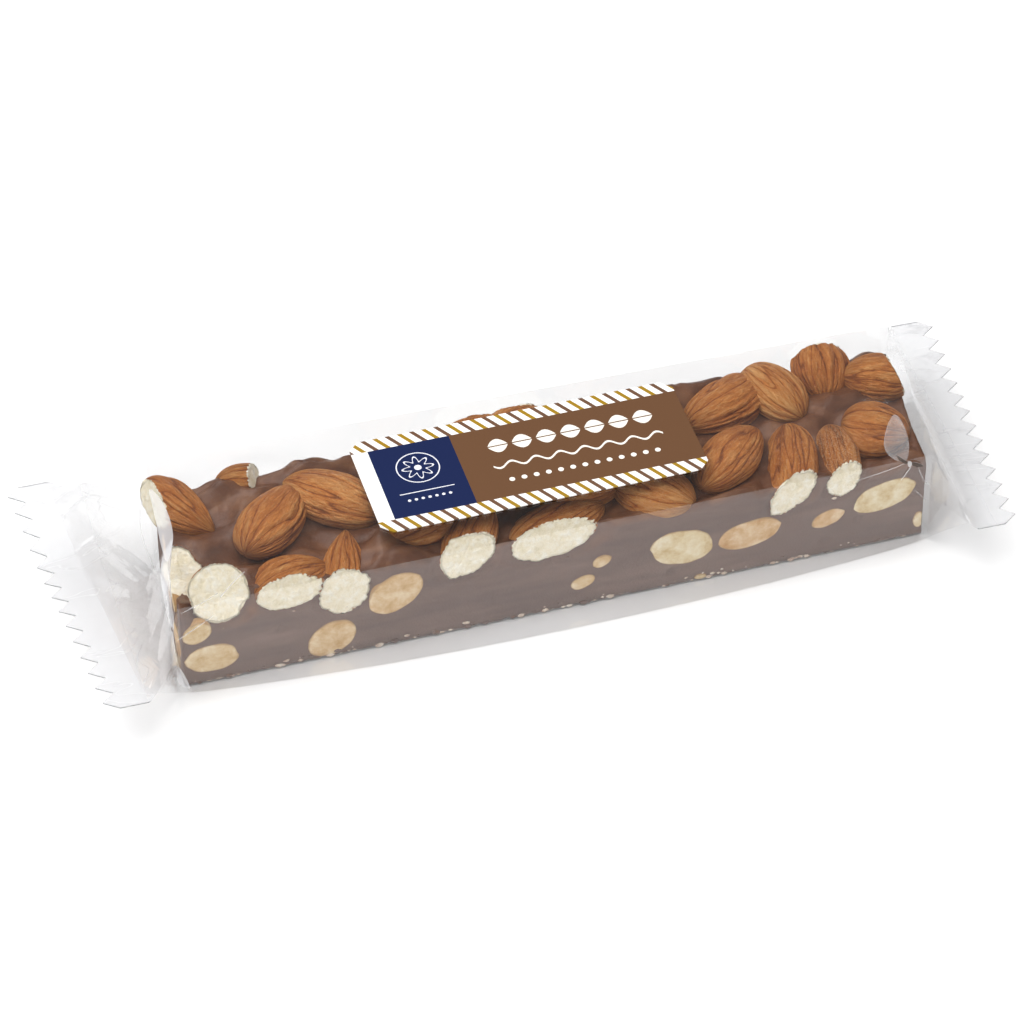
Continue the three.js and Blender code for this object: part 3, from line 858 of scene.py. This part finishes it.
# a whole nut lying along x with its tip at +x, as points in mm and faces, with its skin places and how
# far each is from a groove, from 0 there
def almondForm(size, tipPower, seed):
    length, width, thick = size
    rings, around, half = nutShape["rings"], nutShape["around"], nutShape["skinRound"]
    p, q = nutShape["broadPower"], tipPower
    fullest = (p / (p + q)) ** p * (q / (p + q)) ** q
    t = (1 - np.cos(np.pi * np.arange(1, rings) / rings)) / 2
    along, angle = np.meshgrid(t, 2 * np.pi * np.arange(around) / around, indexing="ij")
    along, angle = along.ravel(), angle.ravel()
    girth = along ** p * (1 - along) ** q / fullest
    x = length * (along - 0.5)
    skin = np.stack([x, half * np.cos(angle), half * np.sin(angle)], 1)
    lump = 1 + nutShape["lumps"] * ripple(skin, nutShape["lumpSize"], seed)
    sway = [nutShape["sway"] * ripple(skin, nutShape["swaySize"], seed + shift) for shift in (3, 5)]
    ridge = ripple(skin + np.stack([0 * x, *sway], 1), nutShape["ridgeSize"], seed + 0.5)
    # ridges are stronger on some nuts, fade towards the ends, and are steep beside each groove
    strength = nutShape["ridge"] * (0.85 + 0.35 * math.sin(seed * 5.3)) * ease(girth, 0.15, 0.7)
    raised = strength * (np.sqrt(np.clip(np.abs(ridge) / 0.45, 0.01, 1)) - 0.65)
    bend = nutShape["bend"] * width * math.sin(seed * 7)
    y = np.cos(angle) * (girth * width / 2 * lump + raised) + bend * (x / length * 2) ** 2
    z = np.sin(angle) * (girth ** nutShape["flatPower"] * thick / 2 * lump + raised)
    ends = np.array([[-length / 2, bend, 0], [length / 2, bend, 0]])
    points = np.concatenate([np.stack([x, y, z], 1), ends])
    skin, ridge = np.concatenate([skin, ends]), np.concatenate([ridge, [0.3, 0.3]])
    faces = ringFaces(0, rings - 1, around)
    tail, tip, last = len(points) - 2, len(points) - 1, (rings - 2) * around
    for i in range(around):
        faces.append((tail, (i + 1) % around, i))
        faces.append((tip, last + i, last + (i + 1) % around))
    return points, faces, skin + seed * 40, ridge


def rimLoop(bm):  # the points round an open cut, in order
    rim = [e for e in bm.edges if e.is_boundary]
    if not rim:
        return []
    nextTo = {}
    for e in rim:
        for v in e.verts:
            nextTo.setdefault(v, []).append(e.other_vert(v))
    start = rim[0].verts[0]
    loop, before = [start], None
    while True:
        ahead = [v for v in nextTo[loop[-1]] if v is not before]
        before = loop[-1]
        if not ahead or ahead[0] is start or len(loop) > len(nextTo):
            return loop
        loop.append(ahead[0])


# cuts off what is beyond a plane and closes the cut with a crumbly face of rings
def cutThrough(bm, point, normal, seed):
    cutLayer, skinLayer = bm.verts.layers.float["cut"], bm.verts.layers.float_vector["skin"]
    for v in bm.verts:
        v[cutLayer] = max(v[cutLayer], (v.co - point).dot(normal) * 0.8)
    bmesh.ops.bisect_plane(bm, geom=bm.verts[:] + bm.edges[:] + bm.faces[:], dist=1e-4, plane_co=point,
                           plane_no=normal, clear_outer=True)
    loop = rimLoop(bm)
    if not loop:
        return
    centre = sum((v.co for v in loop), Vector()) / len(loop)
    shift = Vector((seed, 0, 0))
    for v in loop:  # the cut crumbles at its edge
        chip = cutShape["chip"] * noise.noise(v.co * cutShape["chipScale"] + shift)
        chip += cutShape["broadChip"] * noise.noise(v.co * cutShape["broadChipScale"])
        v.co += (v.co - centre).normalized() * chip
    middle = sum((Vector(v[skinLayer]) for v in loop), Vector()) / len(loop)
    rings = [loop]
    for share in cutShape["shares"]:
        ring = []
        for v in loop:
            place = centre + (v.co - centre) * share
            rough = noise.noise(place * cutShape["crumbScale"] + shift)
            rough += 0.6 * noise.noise(place * cutShape["fineCrumbScale"])
            new = bm.verts.new(place + normal * cutShape["crumb"] * rough)
            new[cutLayer] = (v.co - centre).length * (1 - share)
            new[skinLayer] = middle + (v.co - centre) * share
            ring.append(new)
        rings.append(ring)
    hub = bm.verts.new(centre)
    hub[cutLayer], hub[skinLayer] = 5.0, middle
    for outer, inner in zip(rings, rings[1:]):
        for i in range(len(loop)):
            j = (i + 1) % len(loop)
            bm.faces.new((outer[i], outer[j], inner[j], inner[i]))
    for i in range(len(loop)):
        bm.faces.new((rings[-1][i], rings[-1][(i + 1) % len(loop)], hub))


def makeAlmonds(name, chosen, material):
    points, faces = [], []
    layers = {"skin": [], "look": [], "cut": []}
    for number, nut in chosen:
        seed = number * 1.7 + 0.3  # so that no two nuts are alike
        form, formFaces, skin, ridges = almondForm(nut["size"], nut["tip"], seed)
        place = nutPlace(nut)
        bm = bmesh.new()
        cutLayer = bm.verts.layers.float.new("cut")  # mm in from the skin's torn edge
        skinLayer = bm.verts.layers.float_vector.new("skin")
        lookLayer = bm.verts.layers.float_vector.new("look")  # ridge, tone and dust
        made = []
        for p, s, ridge in zip(form, skin, ridges):
            v = bm.verts.new(place @ Vector(p))
            v[cutLayer], v[skinLayer] = -5.0, Vector(s)
            v[lookLayer] = Vector((ridge, nut["tone"], nut["dust"]))
            made.append(v)
        for face in formFaces:
            bm.faces.new([made[i] for i in face])
        for point, normal in nutCuts(nut):
            cutThrough(bm, point, normal, seed)
        if nut["front"]:  # below the leaning cut, the front of the bar is upright
            for v in bm.verts:
                v.co.y = max(v.co.y, -bar["halfWidth"] - knife["flush"])
        bmesh.ops.recalc_face_normals(bm, faces=bm.faces)
        bm.verts.index_update()
        faces += [[v.index + len(points) for v in f.verts] for f in bm.faces]
        points += [tuple(v.co) for v in bm.verts]
        layers["skin"] += [tuple(v[skinLayer]) for v in bm.verts]
        layers["look"] += [tuple(v[lookLayer]) for v in bm.verts]
        layers["cut"] += [v[cutLayer] for v in bm.verts]
        bm.free()
    shinyFood.objects.link(addPiece(name, points, faces, [material], attributes=layers))


almondFinish = almondMaterial()
for name, wanted in (("wholeAlmonds", False), ("cutAlmonds", True)):
    isCut = [bool(nut["front"] or nut["cuts"]) for nut in almonds]
    makeAlmonds(name, [pair for pair in enumerate(almonds) if isCut[pair[0]] == wanted], almondFinish)
shinyFood.objects.link(bpy.data.objects["nougatBlock"])
print("almonds made:", len(almonds))
makeFilm()
makeFolds()
print("film and its folds made")


# sections: kernels that the knife went through inside the block, flush with its cut faces. Sealed in
# chocolate they stay moist, so they are yellower than the broken ones on top, with a thin skin line.

def sectionMaterial():
    material, tree = newMaterial("almondKernelSection")
    place = addNode(tree, "TexCoord").outputs["Object"]
    mm = addNode(tree, "VectorMath", {0: place, "Scale": 1000.0}, operation="SCALE")
    rim = addNode(tree, "Attribute", attribute_name="rim").outputs["Fac"]  # mm in from the skin
    warm = addNode(tree, "Attribute", attribute_name="warmth").outputs["Fac"]
    mottle = addNode(tree, "TexNoise", {"Vector": mm, "Scale": 0.30, "Detail": 5.0, "Roughness": 0.62})
    pale = addNode(tree, "ValToRGB", {"Fac": mottle}, stops=[
        (0.32, "#c6a465"), (0.5, "#dfcb9c"), (0.68, "#eee2c4")])
    peach = addNode(tree, "ValToRGB", {"Fac": mottle}, stops=[
        (0.32, "#bd8440"), (0.5, "#d0a169"), (0.68, "#e2c499")])
    flesh = addNode(tree, "MixRGB", {"Fac": warm, "Color1": pale, "Color2": peach})
    wander = addNode(tree, "Math", {0: mottle, 1: 0.8, 2: rim}, operation="MULTIPLY_ADD")
    inside = addNode(tree, "MapRange", {"Value": wander, "From Min": 0.42, "From Max": 0.85})
    edged = addNode(tree, "MixRGB", {"Fac": inside, "Color1": linear("#a98253"), "Color2": flesh})
    bump = addNode(tree, "Bump", {"Height": mottle, "Strength": 0.3, "Distance": 0.0004})
    skin = addNode(tree, "BsdfPrincipled", {"Base Color": edged, "Roughness": 0.5, "IOR": 1.45,
                                            "Normal": bump})
    addNode(tree, "OutputMaterial", {"Surface": skin})
    return material


# the sections in each face: how far along it and how high the middle is, then width, height, tilt in
# degrees and how warm the colour is, from 0 to 1
sections = {
    "front": [
        (-73.3, 6.8, 11.8, 7.7, -3, 0.35), (-47.2, 5.4, 11.6, 8.6, 34, 0.55),
        (-33.0, 14.7, 13.2, 9.8, 36, 0.6), (12.6, 11.6, 4.5, 3.2, 22, 0.5), (8.4, 6.6, 5.7, 3.6, 20, 0.5),
        (30.6, 10.8, 14.6, 9.6, -10, 0.1), (45.8, 10.7, 14.6, 7.6, 10, 0.8),
        (63.6, 10.6, 7.8, 4.6, 18, 0.8), (76.3, 13.7, 14.8, 8.2, 14, 0.1), (34.9, 1.0, 2.8, 1.6, 0, 0.2),
        (84.6, 4.6, 2.6, 4.6, 0, 0.2), (-76.2, 14.8, 6.6, 5.6, 30, 0.3),
    ],
    "back": [
        (-68.0, 9.5, 13.0, 8.0, 12, 0.4), (-52.0, 14.0, 9.0, 6.0, -20, 0.6),
        (-34.0, 6.5, 14.0, 8.4, -8, 0.2), (-14.0, 12.5, 8.0, 5.2, 30, 0.5), (6.0, 8.0, 15.0, 9.0, 6, 0.3),
        (24.0, 15.0, 10.0, 6.4, -14, 0.7), (41.0, 6.0, 6.0, 4.0, 10, 0.4), (58.0, 11.5, 14.5, 8.6, 16, 0.2),
        (76.0, 8.0, 9.0, 7.0, -24, 0.5),
    ],
    "left": [
        (4.0, 12.5, 17.0, 8.4, 34, 1.0), (-11.5, 7.5, 10.5, 7.0, -22, 0.9), (-9.0, 16.8, 6.0, 3.6, 10, 0.5),
    ],
    "right": [
        (-9.0, 8.0, 9.0, 6.5, 15, 0.3), (5.0, 12.5, 13.0, 7.5, -10, 0.5),
    ],
}
sectionShape = {
    "around": 56,
    "shares": (1.0, 0.97, 0.9, 0.78, 0.6, 0.35),  # rings of points from the rim inwards
    "proud": 0.16,
    "deep": 1.6,
    "pointed": 1.25,
    "wobble": 0.07, "fineWobble": 0.025,
    "inside": (0.1, 0.5, 0.2),  # mm from the block's foot, its top and its right end
}


def onFace(face, along, height, out):  # a place on one of the block's cut faces
    aboveFoot, belowTop, fromEnd = sectionShape["inside"]
    height = min(max(height, block["foot"] + aboveFoot), bar["height"] - belowTop)
    side = -1 if face in ("front", "left") else 1
    if face in ("left", "right"):
        return bar[face] + skewAt(along) + side * out, along, height
    y = side * bar["halfWidth"]
    return min(along, bar["right"] - fromEnd) + skewAt(y), y + side * out, height


def makeSections():
    points, faces, rims, warmths = [], [], [], []
    count, pointed = sectionShape["around"], sectionShape["pointed"]
    layers = [(1.0, -sectionShape["deep"])]
    layers += [(share, sectionShape["proud"] * (1 - share ** 14)) for share in sectionShape["shares"]]
    theta = 2 * np.pi * np.arange(count) / count
    c, s = np.cos(theta), np.sin(theta)
    for face, rows in sections.items():
        for number, (along, height, width, tall, tilt, warmth) in enumerate(rows):
            # an oval, drawn out a little at its two ends
            u = width / 2 * np.sign(c) * np.abs(c) ** (1 / pointed)
            v = tall / 2 * np.sign(s) * np.abs(s) ** pointed
            spot = np.stack([c * 1.2, s * 1.2, np.full_like(c, number * 3.1 + len(face))], 1)
            wobble = 1 + sectionShape["wobble"] * ripple(spot, 1.0, 2)
            wobble = wobble + sectionShape["fineWobble"] * ripple(spot, 0.3, 5)
            turn = math.radians(tilt)
            u, v = u * math.cos(turn) - v * math.sin(turn), u * math.sin(turn) + v * math.cos(turn)
            u, v = u * wobble, v * wobble
            radius = np.sqrt(u ** 2 + v ** 2)
            base = len(points)
            for share, out in layers:
                places = zip(along + u * share, height + v * share)
                points += [onFace(face, a, h, out) for a, h in places]
                rims += list(radius * (1 - share))
                warmths += [warmth] * count
            faces += ringFaces(base, len(layers), count)
            faces.append(list(range(len(points) - count, len(points))))
            faces.append(list(range(base, base + count))[::-1])
    piece = addPiece("kernelSections", points, faces, [sectionMaterial()],
                     attributes={"rim": rims, "warmth": warmths})
    faceOutwards(piece)


makeSections()
print("sections made")


# crumbs from the knife: along the foot of the cut sides, and under the cut nuts
crumbs = {
    "count": 340, "smallest": 0.12, "largest": 0.7, "sizePower": 3.5, "rings": 5, "around": 8,
    "atBack": 0.72, "atNuts": 0.62, "atEnd": 0.55,  # a draw over these puts a crumb there, or else in front
    "alongSide": (1.5, 0.55, 0.8), "alongEnd": (0.55, 1.3, 0.8), "endHalf": 17, "lowest": 0.12,
}


def makeCrumbs(name, material, seed, share):
    pick = np.random.default_rng(seed)
    cutNuts = [nut for nut in almonds if nut["front"]]
    points, faces = [], []
    rings, around, half = crumbs["rings"], crumbs["around"], bar["halfWidth"]
    t = np.pi * (np.arange(rings) + 0.5) / rings
    a = 2 * np.pi * np.arange(around) / around
    ball = np.stack([np.outer(np.sin(t), np.cos(a)), np.outer(np.sin(t), np.sin(a)),
                     np.outer(np.cos(t), np.ones(around))], -1).reshape(-1, 3)
    for number in range(int(crumbs["count"] * share)):
        spread = crumbs["largest"] - crumbs["smallest"]
        size = crumbs["smallest"] + spread * pick.random() ** crumbs["sizePower"]
        where = pick.random()
        x = pick.uniform(bar["left"] + 1, bar["right"] - 1)
        y = -half + 0.05 - size * 0.15
        z = block["foot"] + size * 0.3 + 1.5 * pick.random() ** 4
        if where > crumbs["atBack"]:
            y = half + size * 0.15
        elif where > crumbs["atNuts"]:
            size *= 0.6
            nut = cutNuts[number % len(cutNuts)]
            x = nut["at"][0] + pick.uniform(-0.3, 0.3) * nut["size"][1]
            z = nut["front"][0] + pick.uniform(-0.4, 1.6)
        elif where > crumbs["atEnd"]:
            x, y = bar["left"] - size * 0.1, pick.uniform(-crumbs["endHalf"], crumbs["endHalf"])
        centre = np.array([x + skewAt(y), y, z])
        lump = 1 + 0.5 * ripple(ball + number * 3.3, 0.8, seed)
        shape = np.array(crumbs["alongSide"] if abs(y) > half - 0.25 else crumbs["alongEnd"])
        base = len(points)
        points += [tuple(p) for p in centre + ball * lump[:, None] * shape * size]
        faces += ringFaces(base, rings, around, turned=True)
        faces.append(list(range(base, base + around)))
        faces.append(list(range(len(points) - around, len(points)))[::-1])
    points = np.array(points)
    points[:, 2] = np.maximum(points[:, 2], crumbs["lowest"])
    addPiece(name, points, faces, [material])


def paleCrumbMaterial():
    # crumbled kernel with melted chocolate rubbed in: pinkish, and matt like meal
    material, tree = newMaterial("nutMealCrumb")
    place = addNode(tree, "TexCoord").outputs["Object"]
    meal = addNode(tree, "TexNoise", {"Vector": place, "Scale": 700.0, "Detail": 3.0})
    shade = addNode(tree, "ValToRGB", {"Fac": meal},
                    stops=[(0.35, "#b89a88"), (0.55, "#dccbb8"), (0.75, "#efe6d8")])
    skin = addNode(tree, "BsdfPrincipled", {"Base Color": shade, "Roughness": 0.75, "IOR": 1.45})
    addNode(tree, "OutputMaterial", {"Surface": skin})
    return material


makeCrumbs("nutCrumbs", paleCrumbMaterial(), 5, 0.6)
makeCrumbs("chocolateCrumbs", bpy.data.materials["milkChocolateNougat"], 8, 0.4)
print("crumbs made")


# label: coated paper, offset-printed and stuck on, so it is flat and evenly satin. White board with a
# navy panel, a brown panel and slanted gold and brown stripes along both long edges.

def labelMaterial():
    material, tree = newMaterial("printedLabelPaper")
    place = addNode(tree, "TexCoord").outputs["Object"]
    mm = addNode(tree, "VectorMath", {0: place, "Scale": 1000.0}, operation="SCALE")
    middle = addNode(tree, "VectorMath", {0: mm, 1: (*label["centre"], 0)}, operation="SUBTRACT")
    apart = addNode(tree, "SeparateXYZ", {0: middle})
    u, v = apart.outputs["X"], apart.outputs["Y"]
    high = addNode(tree, "Math", {0: v}, operation="ABSOLUTE")
    inBand = addNode(tree, "Math", {0: high, 1: 11.0}, operation="LESS_THAN")
    pastMargin = addNode(tree, "Math", {0: u, 1: -32.6}, operation="GREATER_THAN")
    pastNavy = addNode(tree, "Math", {0: u, 1: -14.6}, operation="GREATER_THAN")
    panel = addNode(tree, "Math", {0: inBand, 1: pastMargin}, operation="MULTIPLY")
    # stripes: 1.05 mm wide and 2.7 mm apart, all leaning one way, gold and brown in turn
    lean = addNode(tree, "Math", {0: v, 1: 0.62, 2: u}, operation="MULTIPLY_ADD")
    pitch = addNode(tree, "Math", {0: lean, 1: 1 / 2.7}, operation="MULTIPLY")
    part = addNode(tree, "Math", {0: pitch}, operation="FRACT")
    stripe = addNode(tree, "Math", {0: part, 1: 0.4}, operation="LESS_THAN")
    halfPitch = addNode(tree, "Math", {0: pitch, 1: 0.5}, operation="MULTIPLY")
    turnPart = addNode(tree, "Math", {0: halfPitch}, operation="FRACT")
    isGold = addNode(tree, "Math", {0: turnPart, 1: 0.5}, operation="LESS_THAN")
    stripeColour = addNode(tree, "MixRGB", {"Fac": isGold, "Color1": linear("#6a4d3a"),
                                            "Color2": linear("#9c7a1c")})
    edge = addNode(tree, "MixRGB", {"Fac": stripe, "Color1": linear("#fbf9f6"), "Color2": stripeColour})
    # ornament on the navy panel: a flower in a ring, a rule and a row of dots
    flowerU = addNode(tree, "Math", {0: u, 1: 23.6}, operation="ADD")
    flowerV = addNode(tree, "Math", {0: v, 1: 3.2}, operation="SUBTRACT")
    flowerPlace = addNode(tree, "CombineXYZ", {"X": flowerU, "Y": flowerV})
    radius = addNode(tree, "VectorMath", {0: flowerPlace}, operation="LENGTH").outputs["Value"]
    angle = addNode(tree, "Math", {0: flowerV, 1: flowerU}, operation="ARCTAN2")
    eight = addNode(tree, "Math", {0: angle, 1: 8.0}, operation="MULTIPLY")
    petals = addNode(tree, "Math", {0: addNode(tree, "Math", {0: eight}, operation="COSINE"), 1: 0.8, 2: 2.6},
                     operation="MULTIPLY_ADD")
    petalLine = addNode(tree, "Math", {0: radius, 1: petals, 2: 0.2}, operation="COMPARE")
    ring = addNode(tree, "Math", {0: radius, 1: 4.6, 2: 0.13}, operation="COMPARE")
    heart = addNode(tree, "Math", {0: radius, 1: 0.8}, operation="LESS_THAN")
    near = addNode(tree, "Math", {0: flowerU, 1: 0.0, 2: 6.0}, operation="COMPARE")
    rule = addNode(tree, "Math", {0: v, 1: -4.1, 2: 0.12}, operation="COMPARE")
    dotU = addNode(tree, "Math", {0: flowerU, 1: 0.75}, operation="PINGPONG")
    dotV = addNode(tree, "Math", {0: v, 1: 6.3}, operation="ADD")
    dotPlace = addNode(tree, "CombineXYZ", {"X": dotU, "Y": dotV})
    dotFar = addNode(tree, "VectorMath", {0: dotPlace}, operation="LENGTH").outputs["Value"]
    dots = addNode(tree, "Math", {0: dotFar, 1: 0.36}, operation="LESS_THAN")
    dotRow = addNode(tree, "Math", {0: flowerU, 1: 0.0, 2: 5.2}, operation="COMPARE")
    dotsNear = addNode(tree, "Math", {0: dots, 1: dotRow}, operation="MULTIPLY")
    ruleNear = addNode(tree, "Math", {0: rule, 1: near}, operation="MULTIPLY")
    lineNear = addNode(tree, "Math", {0: ruleNear, 1: dotsNear}, operation="MAXIMUM")
    flower = addNode(tree, "Math", {0: petalLine, 1: ring}, operation="MAXIMUM")
    flowerAll = addNode(tree, "Math", {0: flower, 1: heart}, operation="MAXIMUM")
    onNavy = addNode(tree, "Math", {0: flowerAll, 1: lineNear}, operation="MAXIMUM")
    navy = addNode(tree, "MixRGB", {"Fac": onNavy, "Color1": linear("#16224a"), "Color2": linear("#e9e9ee")})
    # ornament on the brown panel: a row of leaves 5.4 mm apart, a wave and a row of dots
    fromLeft = addNode(tree, "Math", {0: u, 1: 10.8}, operation="SUBTRACT")
    leafPart = addNode(tree, "Math", {0: fromLeft, 1: 2.7}, operation="PINGPONG")
    leafU = addNode(tree, "Math", {0: leafPart, 1: 1 / 2.3}, operation="MULTIPLY")
    leafSquare = addNode(tree, "Math", {0: leafU, 1: 2.0}, operation="POWER")
    leafHigh = addNode(tree, "Math", {0: leafSquare, 1: -2.1, 2: 2.1}, operation="MULTIPLY_ADD")
    fromLeaf = addNode(tree, "Math", {0: v, 1: 5.0}, operation="SUBTRACT")
    leafOff = addNode(tree, "Math", {0: fromLeaf}, operation="ABSOLUTE")
    leaf = addNode(tree, "Math", {0: leafOff, 1: leafHigh}, operation="LESS_THAN")
    vein = addNode(tree, "Math", {0: leafOff, 1: 0.16}, operation="GREATER_THAN")
    leaves = addNode(tree, "Math", {0: leaf, 1: vein}, operation="MULTIPLY")
    swing = addNode(tree, "Math", {0: fromLeft, 1: 2 * math.pi / 5.4}, operation="MULTIPLY")
    sine = addNode(tree, "Math", {0: swing}, operation="SINE")
    waveHigh = addNode(tree, "Math", {0: sine, 1: 0.8, 2: -1.2}, operation="MULTIPLY_ADD")
    wave = addNode(tree, "Math", {0: v, 1: waveHigh, 2: 0.3}, operation="COMPARE")
    beadU = addNode(tree, "Math", {0: fromLeft, 1: 1.35}, operation="PINGPONG")
    beadV = addNode(tree, "Math", {0: v, 1: 6.0}, operation="ADD")
    beadFar = addNode(tree, "VectorMath", {0: addNode(tree, "CombineXYZ", {"X": beadU, "Y": beadV})},
                      operation="LENGTH").outputs["Value"]
    beads = addNode(tree, "Math", {0: beadFar, 1: 0.62}, operation="LESS_THAN")
    beadRow = addNode(tree, "Math", {0: fromLeft, 1: 0.0, 2: 17.4}, operation="COMPARE")
    beadsInside = addNode(tree, "Math", {0: beads, 1: beadRow}, operation="MULTIPLY")
    row = addNode(tree, "Math", {0: leaves, 1: wave}, operation="MAXIMUM")
    inside = addNode(tree, "Math", {0: fromLeft, 1: 0.0, 2: 18.9}, operation="COMPARE")
    rowInside = addNode(tree, "Math", {0: row, 1: inside}, operation="MULTIPLY")
    onBrown = addNode(tree, "Math", {0: rowInside, 1: beadsInside}, operation="MAXIMUM")
    brown = addNode(tree, "MixRGB", {"Fac": onBrown, "Color1": linear("#664730"),
                                     "Color2": linear("#f1ece3")})
    fields = addNode(tree, "MixRGB", {"Fac": pastNavy, "Color1": navy, "Color2": brown})
    board = addNode(tree, "MixRGB", {"Fac": inBand, "Color1": edge, "Color2": linear("#fbf9f6")})
    printed = addNode(tree, "MixRGB", {"Fac": panel, "Color1": board, "Color2": fields})
    fibre = addNode(tree, "TexNoise", {"Vector": mm, "Scale": 2.2, "Detail": 3.0})
    bump = addNode(tree, "Bump", {"Height": fibre, "Strength": 0.12, "Distance": 0.0002})
    skin = addNode(tree, "BsdfPrincipled", {"Base Color": printed, "Roughness": 0.5, "IOR": 1.45,
                                            "Normal": bump})
    addNode(tree, "OutputMaterial", {"Surface": skin})
    return material


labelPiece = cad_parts["label"]
labelPiece.data.materials.clear()
labelPiece.data.materials.append(labelMaterial())
print("label finished")
